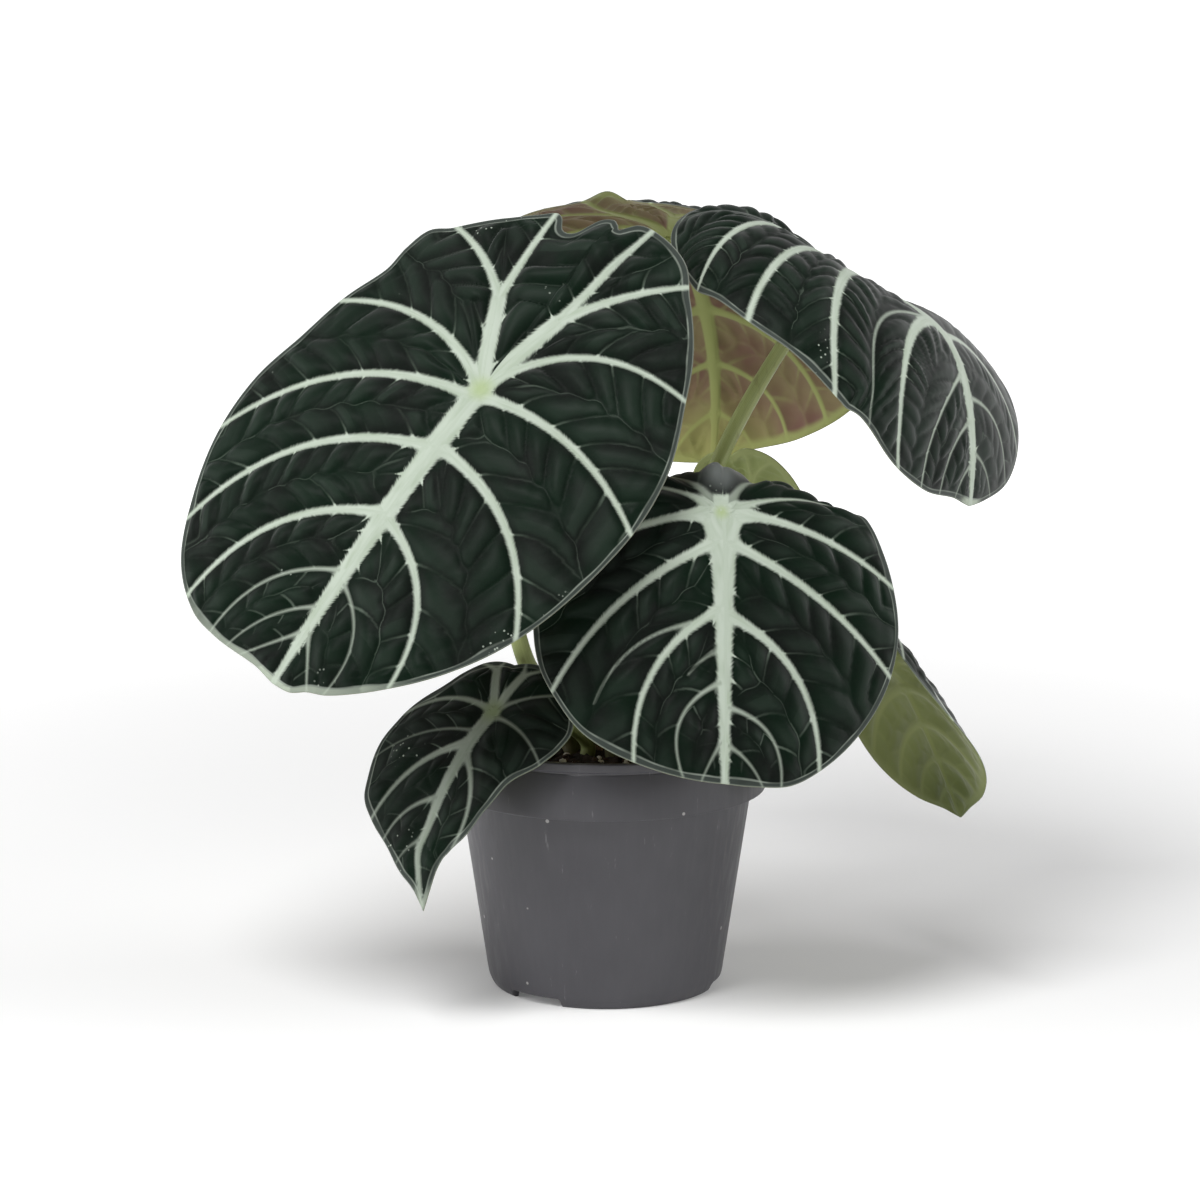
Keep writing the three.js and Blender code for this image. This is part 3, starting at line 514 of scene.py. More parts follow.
def half_fields(leaf, side, stations, cell, seed):
    """Everything known at the grid points of half a blade, as a dict of arrays (rows, columns).

    band is the distance outside the pale veins, along a place on the nearest vein, size its half
    width and margin the distance from the margin. Each panel between main veins is shared by up to
    three of them: near0 and near1 are distances to its even and odd numbered vein, and near2 to the
    midrib. turn0 to turn2 count the secondary veins along them.
    """
    half = leaf[side]
    rows, lines = half_rows(leaf, side, stations, cell)
    columns = math.ceil(0.72 * half["edge"][0][1] / cell) + 6
    t = np.linspace(0, 1, columns + 1)
    start = np.array([row[0] for row in rows])
    angle = np.array([row[1] for row in rows])
    bow = np.array([row[2] for row in rows])
    panel = np.array([row[3] for row in rows])
    between = np.array([row[4] for row in rows])
    shares = np.broadcast_to(t, (len(rows), len(t)))
    grid = bowed(half, start[:, None, :], angle[:, None], bow[:, None], shares)
    shape = grid.shape[:2]
    flat = grid.reshape(-1, 2)
    panel = np.broadcast_to(panel[:, None], shape).ravel()

    paths = vein_paths(leaf, side)
    gaps = []
    places = []
    turns = []
    outside = []
    for number, (points, half_width, pale) in enumerate(paths):
        gap, share, turn = distance_to_path(flat, points)
        size = np.interp(share, np.linspace(0, 1, len(half_width)), half_width)
        from_start = share * steps_along(points).sum()
        gaps.append(gap)
        outside.append(gap - size)
        turns.append(turn > 0)
        places.append((from_start, from_start + VEIN_SHIFT * number + SIDE_SHIFT * (turn > 0), size,
                       np.full(len(flat), pale * leaf.get("dull", 1.0))))
    gaps, outside = np.array(gaps), np.array(outside)
    nearest = outside.argmin(0)
    pick = np.arange(len(flat))
    along, size, pale = [np.array([p[k] for p in places])[nearest, pick] for k in (1, 2, 3)]
    band = -BLEND * np.logaddexp.reduce(-outside / BLEND, axis=0)
    x, s = flat.T
    web = np.exp(-((x / WEB_ACROSS) ** 2 + ((s - WEB_CENTRE) / WEB_ALONG) ** 2))
    band = band - leaf.get("web", 0) * web

    margin_line = bowed(half, np.zeros((361, 2)), np.linspace(0, 180, 361), np.zeros(361), np.ones(361))
    margin = distance_to_path(flat, margin_line)[0]

    # Lines 1 to the last but one are veins: line k follows path k, and both forks hold the rib.
    # The marks are where secondary veins leave each side of a vein
    rng = np.random.default_rng(seed)
    spacing = leaf["quilt"][1]
    veined = len(lines) - 1
    step = rng.uniform(*SPACINGS, (veined, 2, MARKS)) * spacing
    marks = np.cumsum(step, axis=2) + FIRST_MARK - spacing
    on_midrib = panel < sum(line[0][1] > 0 for line in lines)
    even = np.where(panel % 2 == 0, panel, panel + 1)
    odd = np.where(panel % 2 == 0, panel + 1, panel)
    walls = [np.where(choice == 0, veined, np.minimum(choice, veined)) for choice in (even, odd)]
    walls.append(np.where(on_midrib, 0, veined))
    known = np.concatenate([gaps[:veined], np.full((1, len(flat)), FAR)])
    distances = [known[wall, pick] for wall in walls]
    room = np.sort(np.array(distances), axis=0)[:2].sum(0) / 2
    near = []
    count = []
    wander = 0.9 * np.sin(0.16 * x + 1.1 * np.sin(0.13 * s + seed))
    wander += 0.7 * np.sin(0.19 * s + 1.2 * np.sin(0.11 * x) + seed)
    for wall, d in zip(walls, distances):
        phase = np.zeros(len(flat))
        for number in range(veined):
            q = places[number][0] - 0.5 * d - 0.3 * d * d / np.maximum(room, 3) + wander
            for turn in (0, 1):
                here = (wall == number) & (turns[number] == turn)
                phase = np.where(here, np.interp(q, marks[number, turn], np.arange(float(MARKS))), phase)
        near.append(d * (1 + 0.07 * np.cos(2 * np.pi * phase) * np.clip(d / 6, 0, 1)))
        count.append(phase)

    fields = dict(
        x=x, s=s, t=np.broadcast_to(t, shape).ravel(),
        between=np.broadcast_to(between[:, None], shape).ravel(),
        panel=panel + LEFT_PANELS * (side == "left"),
        band=band, along=along, size=size, pale=pale, margin=margin, room=room,
        near0=near[0], near1=near[1], near2=near[2], turn0=count[0], turn1=count[1], turn2=count[2],
    )
    return {name: np.asarray(values, float).reshape(shape) for name, values in fields.items()}


def cell_random(number, salt):
    """A repeatable number from 0 to 1 for each small cell."""
    mixed = np.sin(number * 12.9898 + salt * 4.1414) * 43758.5453
    return mixed - np.floor(mixed)


def heights(leaf, side, field):
    """Heights of the upper and lower face over the middle surface."""
    relief = leaf[side].get("relief", 1)
    x, s, t = field["x"], field["s"], field["t"]
    near_hub = np.exp(-(x * x + s * s) / HUB_SPREAD)
    off_vein = np.maximum(field["band"], 0)

    # Folds between the main veins
    swell = np.maximum(np.sin(np.pi * np.minimum(1, t * 1.15)), 0) ** 0.6
    pleat = relief * leaf["pleat"] * np.sin(np.pi * field["between"]) * swell
    pleat = pleat * (1 - np.exp(-(off_vein / 3) ** 2))

    # Small domed cells between the secondary veins
    near = np.array([field["near0"], field["near1"], field["near2"]])
    turn = np.array([field["turn0"], field["turn1"], field["turn2"]])
    owner = near.argmin(0)
    first, second = np.sort(near, axis=0)[:2]
    phase = np.take_along_axis(turn, owner[None], 0)[0]
    cell = np.floor(phase)
    part = phase - cell
    dome = (4 * part * (1 - part)) ** 0.7 * (0.7 + 0.6 * part)
    dome = dome * (1 - (first / np.maximum((first + second) / 2, 0.5)) ** 5)
    open_lamina = (1 - np.exp(-off_vein / 1.6)) * ramp(1.5, 9, field["room"])
    each = 0.6 + 0.8 * cell_random(cell + 40 * owner + 150 * field["panel"], 1)
    quilt = relief * leaf["quilt"][0] * each * dome * open_lamina * ramp(0.8, 5, field["margin"])

    # Veins, a little proud above and as ribs below
    inside = np.clip(-field["band"] / np.maximum(field["size"], 0.3), 0, 1)
    rounded = np.sqrt(np.clip(1 - (1 - inside) ** 2, 0, 1))
    top = pleat + quilt + 0.12 * field["size"] * rounded - HUB_DIMPLE * near_hub
    rim = ramp(0, 2.6, field["margin"])
    rib = 0.5 * field["size"] * rounded * (0.35 + 0.65 * ramp(0, 12, field["margin"]))
    bottom = top - BLADE * (0.6 + 0.4 * rim) - np.maximum(rib, MIDRIB_DEPTH * near_hub)
    return top, bottom


def new_object(name, points, faces):
    """A smooth shaded mesh object from places in mm."""
    mesh = bpy.data.meshes.new(name)
    mesh.from_pydata([tuple(p) for p in (np.asarray(points) * MM).tolist()], [], faces)
    mesh.update()
    mesh.polygons.foreach_set("use_smooth", [True] * len(mesh.polygons))
    thing = bpy.data.objects.new(name, mesh)
    bpy.context.scene.collection.objects.link(thing)
    return thing


def triangle_object(name, points, triangles):
    """Like new_object, for large arrays of triangles."""
    mesh = bpy.data.meshes.new(name)
    mesh.vertices.add(len(points))
    mesh.vertices.foreach_set("co", np.ascontiguousarray(points * MM, dtype=np.float32).ravel())
    mesh.loops.add(3 * len(triangles))
    mesh.loops.foreach_set("vertex_index", np.ascontiguousarray(triangles, dtype=np.int32).ravel())
    mesh.polygons.add(len(triangles))
    mesh.polygons.foreach_set("loop_start", np.arange(0, 3 * len(triangles), 3, dtype=np.int32))
    mesh.update(calc_edges=True)
    mesh.polygons.foreach_set("use_smooth", np.ones(len(triangles), dtype=bool))
    thing = bpy.data.objects.new(name, mesh)
    bpy.context.scene.collection.objects.link(thing)
    return thing


def set_attribute(thing, name, values):
    """One number for each vertex, which materials read by name."""
    layer = thing.data.attributes.new(name, "FLOAT", "POINT")
    layer.data.foreach_set("value", np.ascontiguousarray(values, dtype=np.float32))


BLADE_FIELDS = ("band", "along", "size", "pale", "margin", "panel", "near0", "near1", "near2",
                "turn0", "turn1", "turn2")


def build_blade(letter, leaf):
    """One closed blade with quilted faces, ribs under its veins and a rounded margin."""
    cell = LARGE_CELL if leaf["width"] > LARGE_WIDTH else SMALL_CELL
    surface = Surface(leaf)
    stations = midrib_stations(leaf, cell)
    columns_of = {name: [] for name in BLADE_FIELDS + ("x", "s", "top", "bottom")}
    faces = []
    rims = []
    offset = 0
    for side, sign in (("right", 1), ("left", -1)):
        field = half_fields(leaf, side, stations, cell, seed=ord(letter) * 10 + sign)
        field["top"], field["bottom"] = heights(leaf, side, field)
        field["x"] = sign * field["x"]
        field["along"] = field["along"] + (HALF_SHIFT if sign < 0 else 0)
        rows, columns = field["x"].shape
        for name in columns_of:
            columns_of[name].append(np.asarray(field[name], float).ravel())
        index = offset + np.arange(rows * columns).reshape(rows, columns)
        a, b = index[:-1, :-1].ravel(), index[:-1, 1:].ravel()
        c, d = index[1:, 1:].ravel(), index[1:, :-1].ravel()
        quads = np.stack([a, b, c, d] if sign > 0 else [a, d, c, b], -1)
        faces.append(quads)
        edge_line = index[:, -1]
        ends = [edge_line[:-1], edge_line[1:]]
        rims.append(np.stack(ends if sign > 0 else ends[::-1], -1))
        offset += rows * columns
    values = {name: np.concatenate(parts) for name, parts in columns_of.items()}
    quads = np.concatenate(faces)
    rim = np.concatenate(rims)

    # Points that coincide in the flat leaf are one point
    keys = np.round(np.stack([values["x"], values["s"]], -1), 3) + 0.0
    first, where = np.unique(keys, axis=0, return_index=True, return_inverse=True)[1:]
    where = where.ravel()
    values = {name: column[first] for name, column in values.items()}
    quads, rim = where[quads], where[rim]
    triangles = np.concatenate([quads[:, [0, 1, 2]], quads[:, [0, 2, 3]]])
    good = (triangles[:, 0] != triangles[:, 1]) & (triangles[:, 1] != triangles[:, 2])
    good &= triangles[:, 0] != triangles[:, 2]
    triangles = triangles[good]
    rim = rim[rim[:, 0] != rim[:, 1]]

    x, s = values["x"], values["s"]
    top = surface.place(x, s, values["top"])
    bottom = surface.place(x, s, values["bottom"])

    # A ring half way down the margin, a little further out, rounds it
    ring = np.unique(rim)
    ring_of = {int(v): 2 * len(x) + i for i, v in enumerate(ring)}
    size = np.hypot(x[ring], s[ring])
    grown = 1 + RIM_BULGE / np.maximum(size, 1)
    half_way = (values["top"][ring] + values["bottom"][ring]) / 2
    outer = surface.place(x[ring] * grown, s[ring] * grown, half_way)

    below = len(x)
    rim_out = np.array([[ring_of[int(a)], ring_of[int(b)]] for a, b in rim])
    faces = np.concatenate([
        triangles[:, ::-1],
        triangles + below,
        np.stack([rim[:, 0], rim[:, 1], rim_out[:, 1]], -1),
        np.stack([rim[:, 0], rim_out[:, 1], rim_out[:, 0]], -1),
        np.stack([rim_out[:, 0], rim_out[:, 1], rim[:, 1] + below], -1),
        np.stack([rim_out[:, 0], rim[:, 1] + below, rim[:, 0] + below], -1),
    ])
    piece = triangle_object(f"leaf_{letter}", np.concatenate([top, bottom, outer]), faces)
    for name in BLADE_FIELDS:
        column = values[name]
        set_attribute(piece, name, np.concatenate([column, column, column[ring]]))
    bulge = np.zeros(below)
    for bump_x, bump_s, radius, _, tone in leaf["bumps"]:
        bulge += tone * np.exp(-(((x - bump_x) ** 2 + (s - bump_s) ** 2) / radius ** 2) ** 2)
    set_attribute(piece, "bulge", np.concatenate([bulge, bulge, bulge[ring]]))
    under = np.concatenate([np.zeros(below), np.ones(below), np.full(len(ring), 0.4)])
    set_attribute(piece, "under", under)
    reach = leaf["right"]["edge"][0][1]
    from_hub = np.hypot(x, s) / leaf.get("hub_tint", 1)
    from_tip = np.hypot(x, s - reach)
    tip_share = from_tip / leaf.get("pale_tip", PALE_TIP)
    for name, distance in (("hub", from_hub), ("from_tip", from_tip), ("tip", tip_share)):
        set_attribute(piece, name, np.concatenate([distance, distance, distance[ring]]))
    return piece


# Materials

def linear(red, green, blue):
    """A colour given as it looks on screen, from 0 to 255, as the linear colour that shaders use."""
    channels = [c / 255 for c in (red, green, blue)]
    return [c / 12.92 if c <= 0.04045 else ((c + 0.055) / 1.055) ** 2.4 for c in channels] + [1.0]


class Shader:
    """A material and short calls for the nodes in it. Patterns' scales are counts per metre."""

    def __init__(self, name):
        self.material = bpy.data.materials.new(name)
        self.material.use_nodes = True
        self.nodes = self.material.node_tree.nodes
        self.links = self.material.node_tree.links
        self.nodes.clear()
        self.surface = self.nodes.new("ShaderNodeBsdfPrincipled")
        output = self.nodes.new("ShaderNodeOutputMaterial")
        self.links.new(self.surface.outputs[0], output.inputs[0])
        self.place = self.nodes.new("ShaderNodeTexCoord").outputs["Object"]

    def put(self, value, socket):
        """Links a node's output to a socket, or sets the socket to a plain value."""
        if isinstance(value, bpy.types.NodeSocket):
            self.links.new(value, socket)
        else:
            socket.default_value = value

    def attribute(self, name):
        """A number that set_attribute stored on the mesh."""
        node = self.nodes.new("ShaderNodeAttribute")
        node.attribute_name = name
        return node.outputs["Fac"]

    def times(self, first, *others):
        """The product of all the values."""
        for other in others:
            first = self.math("MULTIPLY", first, other)
        return first

    def minus(self, a, b):
        return self.math("SUBTRACT", a, b)

    def math(self, operation, a, b=0.0, c=0.0):
        node = self.nodes.new("ShaderNodeMath")
        node.operation = operation
        for value, socket in zip((a, b, c), node.inputs):
            self.put(value, socket)
        return node.outputs[0]

    def blend(self, share, a, b):
        """A number between a and b."""
        node = self.nodes.new("ShaderNodeMix")
        self.put(share, node.inputs[0])
        self.put(a, node.inputs[2])
        self.put(b, node.inputs[3])
        return node.outputs[0]

    def ramp(self, value, low, high, start=0.0, end=1.0):
        """From start at low to end at high, smooth between and level outside."""
        node = self.nodes.new("ShaderNodeMapRange")
        node.interpolation_type = "SMOOTHSTEP"
        for item, socket in zip((value, low, high, start, end), node.inputs):
            self.put(item, socket)
        return node.outputs[0]

    def combine(self, x, y, z=0.0):
        node = self.nodes.new("ShaderNodeCombineXYZ")
        for value, socket in zip((x, y, z), node.inputs):
            self.put(value, socket)
        return node.outputs[0]

    def stretch(self, x, y, z):
        node = self.nodes.new("ShaderNodeMapping")
        self.put(self.place, node.inputs["Vector"])
        node.inputs["Scale"].default_value = (x, y, z)
        return node.outputs[0]

    def noise(self, vector, scale, detail=2.0, roughness=0.5):
        node = self.nodes.new("ShaderNodeTexNoise")
        self.put(vector, node.inputs["Vector"])
        node.inputs["Scale"].default_value = scale
        node.inputs["Detail"].default_value = detail
        node.inputs["Roughness"].default_value = roughness
        return node.outputs["Fac"]

    def cells(self, vector, scale):
        """Distance from the middle of the nearest cell."""
        node = self.nodes.new("ShaderNodeTexVoronoi")
        self.put(vector, node.inputs["Vector"])
        node.inputs["Scale"].default_value = scale
        return node.outputs["Distance"]

    def length(self, vector):
        node = self.nodes.new("ShaderNodeVectorMath")
        node.operation = "LENGTH"
        self.put(vector, node.inputs[0])
        return node.outputs["Value"]

    def white_noise(self, vector):
        node = self.nodes.new("ShaderNodeTexWhiteNoise")
        self.put(vector, node.inputs["Vector"])
        return node.outputs["Value"]

    def mix(self, share, a, b):
        """A colour between a and b."""
        node = self.nodes.new("ShaderNodeMix")
        node.data_type = "RGBA"
        self.put(share, node.inputs[0])
        self.put(a, node.inputs[6])
        self.put(b, node.inputs[7])
        return node.outputs[2]

    def bump(self, height, strength, distance):
        """Fine relief of a height in mm."""
        node = self.nodes.new("ShaderNodeBump")
        node.inputs["Strength"].default_value = strength
        node.inputs["Distance"].default_value = distance * MM
        self.put(height, node.inputs["Height"])
        self.links.new(node.outputs[0], self.surface.inputs["Normal"])

    def finish(self, color, roughness, specular):
        """Sets the main sockets and returns the material."""
        self.put(color, self.surface.inputs["Base Color"])
        self.put(roughness, self.surface.inputs["Roughness"])
        self.surface.inputs["Specular IOR Level"].default_value = specular
        return self.material


# Colours, given as they look on screen. An underside has one each for lamina, veins and tip
LAMINA_GREEN = linear(5, 22, 11)
LAMINA_BROWN = linear(11, 15, 12)
LAMINA_GREY = linear(17, 26, 19)
# Painted sheen: the lighter grey green laid on the crests of the small cells
LAMINA_PAINTED_SHEEN = linear(39, 50, 42)
SECONDARY = linear(96, 108, 96)
MARGIN_BAND = linear(56, 62, 58)
MARGIN_TIP = linear(166, 176, 160)
MARGIN_LINE = linear(134, 142, 132)
BULGE = linear(92, 96, 94)
VEIN_LIGHT = linear(174, 184, 171)
VEIN_DARK = linear(158, 170, 153)
VEIN_HUB = linear(152, 170, 112)
RED_UNDERSIDE = linear(118, 91, 80), linear(150, 158, 100), linear(144, 146, 88)
OLIVE_UNDERSIDE = linear(114, 122, 76), linear(128, 136, 86), linear(78, 88, 48)
# Painted light: this underside is the yellow green of g made much paler, standing for light shining through a
# blade that lies in shade
PAINTED_BACKLIGHT_UNDERSIDE = linear(160, 172, 112), linear(176, 186, 128), linear(160, 172, 112)
STALK_DARK = linear(146, 160, 96)
STALK_LIGHT = linear(176, 186, 124)
STALK_FOOT = linear(58, 48, 32)
STALK_FLECK = linear(104, 92, 62)
POT_DARK = linear(58, 57, 62)
POT_LIGHT = linear(66, 65, 70)
POT_GRAIN = linear(68, 67, 72)
POT_SCUFF = linear(140, 139, 142)
POT_FLECK = linear(176, 174, 172)
MIX_DARK = linear(20, 15, 12)
MIX_LIGHT = linear(44, 33, 26)
MIX_BARK = linear(68, 47, 34)
MIX_GRAIN = linear(200, 194, 184)
ROOT_DARK = linear(58, 42, 28)
ROOT_LIGHT = linear(122, 98, 68)
FLOOR_DARK = linear(234, 234, 234)
FLOOR_LIGHT = linear(238, 238, 238)


class LeafShader(Shader):
    """A leaf's material: its values on the blade first, then one method for each layer of colour."""

    def __init__(self, name):
        super().__init__(name)
        self.band = self.attribute("band")
        self.along = self.attribute("along")
        self.size = self.attribute("size")
        self.pale = self.attribute("pale")
        self.margin = self.attribute("margin")
        self.panel = self.attribute("panel")
        self.bulge = self.attribute("bulge")
        self.patches = self.noise(self.place, 48, 3)
        self.fine = self.noise(self.place, 900, 2)
        self.breaks = self.noise(self.place, 90, 2)

        # Which vein each small cell belongs to, and where the cells of two veins meet
        near = [self.attribute(f"near{k}") for k in range(3)]
        turn = [self.attribute(f"turn{k}") for k in range(3)]
        low = self.math("MINIMUM", near[0], near[1])
        high = self.math("MAXIMUM", near[0], near[1])
        self.first = self.math("MINIMUM", low, near[2])
        second = self.math("MAXIMUM", low, self.math("MINIMUM", high, near[2]))
        self.middle = self.times(self.minus(second, self.first), 0.5)
        from_even = self.math("LESS_THAN", near[0], near[1])
        from_midrib = self.math("LESS_THAN", near[2], low)
        self.phase = self.blend(from_midrib, self.blend(from_even, turn[1], turn[0]), turn[2])
        owner = self.blend(from_midrib, from_even, 2.0)

        # The secondary veins lie where the count is whole, and each has a random number of its own
        nearest = self.math("ROUND", self.phase)
        self.off_line = self.times(self.math("ABSOLUTE", self.minus(self.phase, nearest)), 9.0)
        self.each = self.white_noise(self.combine(nearest, owner, self.panel))

    def lamina(self):
        """The blackish green lamina, with browner and greyer patches and painted sheen that lightens the
        crests of cells, leaving their creases darker.
        """
        color = self.mix(self.ramp(self.patches, 0.35, 0.65), LAMINA_GREEN, LAMINA_BROWN)
        color = self.mix(self.ramp(self.fine, 0.3, 0.7, 0.0, 0.3), color, LAMINA_GREY)
        part = self.math("FRACT", self.phase)
        # Painted sheen and shade: each cell is lighter on its crest, darker at its creases, next to the veins
        # and where cells meet
        painted_sheen = self.times(self.ramp(part, 0.1, 0.7), self.ramp(part, 0.78, 1.0, 1.0, 0.0),
                           self.ramp(self.band, 0.5, 4.0), self.ramp(self.middle, 0.2, 2.5),
                           self.ramp(self.each, 0.0, 1.0, 0.35, 1.0))
        color = self.mix(self.times(painted_sheen, 0.6), color, LAMINA_PAINTED_SHEEN)
        return self.mix(self.bulge, color, BULGE)

    def secondary_veins(self, face):
        """Thin broken lines, brighter next to the main vein, and fainter ones where cells meet."""
        line = self.times(self.ramp(self.off_line, 0.0, 0.6, 1.0, 0.0),
                          self.ramp(self.each, 0.2, 1.0, 0.05, 0.6),
                          self.ramp(self.first, 2.5, 8.0, 1.0, 0.28), self.ramp(self.middle, 0.3, 0.9))
        meeting = self.times(self.ramp(self.middle, 0.0, 0.5, 1.0, 0.0),
                             self.ramp(self.each, 0.5, 1.0, 0.03, 0.42), self.ramp(self.first, 4.0, 9.0))
        shown = self.times(self.math("MAXIMUM", line, meeting), self.ramp(self.breaks, 0.3, 0.62, 0.4, 1.0))
        return self.mix(shown, face, SECONDARY)

    def edged(self, face):
        """A grey green band along the margin behind a thin pale line, paler towards the tip."""
        uneven = self.noise(self.place, 40, 1)
        near_tip = self.times(self.ramp(self.attribute("tip"), 0.3, 1.0, 1.0, 0.0), self.pale)
        inset = self.times(self.margin, self.ramp(uneven, 0.3, 0.7, 0.9, 1.7),
                           self.ramp(near_tip, 0.0, 1.0, 1.0, 0.85))
        band_color = self.mix(near_tip, MARGIN_BAND, MARGIN_TIP)
        face = self.mix(self.ramp(inset, 1.6, 2.2, 0.9, 0.0), face, band_color)
        shown = self.math("MAXIMUM", self.ramp(self.breaks, 0.35, 0.65, 0.25, 0.7), near_tip)
        inner_line = self.times(self.ramp(inset, 1.6, 2.0), self.ramp(inset, 2.15, 2.7, 1.0, 0.0), shown)
        outer_line = self.ramp(self.margin, 0.05, 0.35, 0.45, 0.0)
        return self.mix(self.math("MAXIMUM", inner_line, outer_line), face, MARGIN_LINE)

    def pale_veins(self, face):
        """Feathered pale veins, tinted green round the hub.

        Their border has a tapering tooth where each secondary vein leaves, and short hairs that
        lean along the vein.
        """
        tooth = self.ramp(self.off_line, 0.0, 1.0, 1.0, 0.0)
        tooth_length = self.times(tooth, tooth, self.ramp(self.each, 0.0, 1.0, 0.2, 1.8))
        lean = self.math("MULTIPLY_ADD", self.band, 0.8, self.along)
        hairs = self.noise(self.combine(lean, 3.0, self.panel), 2.2, 1.0)
        hair_length = self.ramp(hairs, 0.35, 0.8, -0.1, 0.6)
        reach = self.times(self.math("ADD", tooth_length, hair_length),
                           self.ramp(self.size, 0.3, 3.4, 0.2, 1.1), self.pale)
        share = self.times(self.ramp(self.minus(self.band, reach), -0.9, 0.55, 1.0, 0.0), self.pale)
        streaks = self.combine(self.times(self.along, 0.12), self.times(self.band, 0.5), self.panel)
        color = self.mix(self.ramp(self.noise(streaks, 0.7, 2), 0.3, 0.75), VEIN_LIGHT, VEIN_DARK)
        color = self.mix(self.ramp(self.attribute("hub"), 0.5, 7.0, 0.65, 0.0), color, VEIN_HUB)
        return self.mix(share, face, color)

    def speckled(self, face):
        """Tiny pale specks in small clusters."""
        dots = self.ramp(self.cells(self.place, 420), 0.1, 0.2, 1.0, 0.0)
        clusters = self.ramp(self.noise(self.place, 26, 1), 0.66, 0.72)
        return self.mix(self.times(dots, clusters, 0.7), face, VEIN_LIGHT)

    def underside(self, lamina, vein, tip):
        """The lower face in its own colours of lamina, veins and tip, with a net of raised veins."""
        from_tip = self.attribute("from_tip")
        toward_tip = self.ramp(from_tip, 5.0, 38.0, 1.0, 0.0)
        vein_color = self.mix(self.times(toward_tip, 0.6), vein, tip)
        back = self.mix(self.ramp(self.patches, 0.3, 0.7, 0.0, 0.35), lamina, vein)
        back = self.mix(self.times(toward_tip, 0.85), back, tip)
        net = self.times(self.ramp(self.off_line, 0.1, 1.3, 1.0, 0.0),
                         self.ramp(self.first, 1.0, 8.0, 0.4, 0.1))
        net = self.math("MAXIMUM", net, self.ramp(self.middle, 0.1, 1.2, 0.12, 0.0))
        back = self.mix(net, back, vein_color)
        rim = self.times(self.ramp(self.margin, 1.5, 5.0, 0.9, 0.0),
                         self.ramp(from_tip, 70.0, 120.0, 1.0, 0.25))
        back = self.mix(rim, back, vein_color)
        ribs = self.math("MAXIMUM", self.ramp(self.band, -0.4, 0.9, 1.0, 0.0), self.bulge)
        return self.mix(ribs, back, vein_color)


def leaf_material(name, lamina_under, vein_under, tip_under):
    """Blackish green face with feathered pale veins, and an underside with its own three colours."""
    m = LeafShader(name)
    face = m.speckled(m.pale_veins(m.edged(m.secondary_veins(m.lamina()))))
    back = m.underside(lamina_under, vein_under, tip_under)
    color = m.mix(m.attribute("under"), face, back)
    m.bump(m.math("ADD", m.times(m.fine, 0.5), m.noise(m.place, 2600, 1)), 0.2, 0.1)
    m.surface.inputs["Sheen Weight"].default_value = 0.3
    m.surface.inputs["Sheen Roughness"].default_value = 0.4
    return m.finish(color, m.ramp(m.patches, 0.2, 0.8, 0.4, 0.52), 0.04)


def stalk_material():
    """Satin yellow green skin with fine lengthwise streaks, browner near the soil."""
    m = Shader("stalk_skin")
    rise = m.attribute("rise")
    turn = m.attribute("turn")
    streaks = m.noise(m.combine(m.times(turn, 22.0), m.times(rise, 2.0)), 1.0, 3)
    skin = m.mix(m.ramp(streaks, 0.3, 0.7), STALK_DARK, STALK_LIGHT)
    skin = m.mix(m.ramp(rise, 0.12, 0.4, 0.9, 0.0), skin, STALK_FOOT)
    flecks = m.noise(m.stretch(1, 1, 0.3), 420, 2)
    skin = m.mix(m.ramp(flecks, 0.58, 0.72, 0.0, 0.3), skin, STALK_FLECK)
    m.bump(streaks, 0.3, 0.2)
    return m.finish(skin, m.ramp(flecks, 0.3, 0.7, 0.38, 0.5), 0.4)


def pot_material():
    """Matt grey plastic with a fine grain, scuffs and a few pale flecks."""
    m = Shader("grey_plastic")
    cloud = m.noise(m.place, 22, 3)
    plastic = m.mix(m.ramp(cloud, 0.3, 0.7), POT_DARK, POT_LIGHT)
    grain = m.noise(m.place, 2400, 2)
    plastic = m.mix(m.ramp(grain, 0.35, 0.65, 0.0, 0.25), plastic, POT_GRAIN)
    scuffs = m.noise(m.stretch(2.4, 2.4, 0.35), 150, 4, 0.6)
    plastic = m.mix(m.ramp(scuffs, 0.66, 0.74, 0.0, 0.3), plastic, POT_SCUFF)
    dots = m.cells(m.place, 70)
    plastic = m.mix(m.ramp(dots, 0.035, 0.06, 0.8, 0.0), plastic, POT_FLECK)
    m.bump(m.math("ADD", grain, m.times(scuffs, 0.4)), 0.2, 0.1)
    return m.finish(plastic, m.ramp(scuffs, 0.4, 0.7, 0.5, 0.38), 0.6)


def mix_material():
    """Dark damp crumbs; pale grains are marked by an attribute."""
    m = Shader("dark_mix")
    cloud = m.noise(m.place, 160, 3)
    crumb = m.mix(m.ramp(cloud, 0.35, 0.65), MIX_DARK, MIX_LIGHT)
    tint = m.attribute("tint")
    crumb = m.mix(m.ramp(tint, 0.2, 0.8, 0.0, 0.6), crumb, MIX_BARK)
    crumb = m.mix(m.ramp(tint, 1.4, 1.6), crumb, MIX_GRAIN)
    grain = m.noise(m.place, 1500, 3)
    m.bump(grain, 0.6, 0.4)
    return m.finish(crumb, m.ramp(grain, 0.3, 0.7, 0.75, 0.95), 0.3)


def rootstock_material():
    """Dull brown skin with upright fibres."""
    m = Shader("fibrous_skin")
    fibres = m.noise(m.stretch(6, 6, 1), 160, 4)
    skin = m.mix(m.ramp(fibres, 0.35, 0.65), ROOT_DARK, ROOT_LIGHT)
    m.bump(fibres, 0.6, 0.6)
    return m.finish(skin, m.ramp(fibres, 0.3, 0.7, 0.7, 0.9), 0.3)


# Stalks

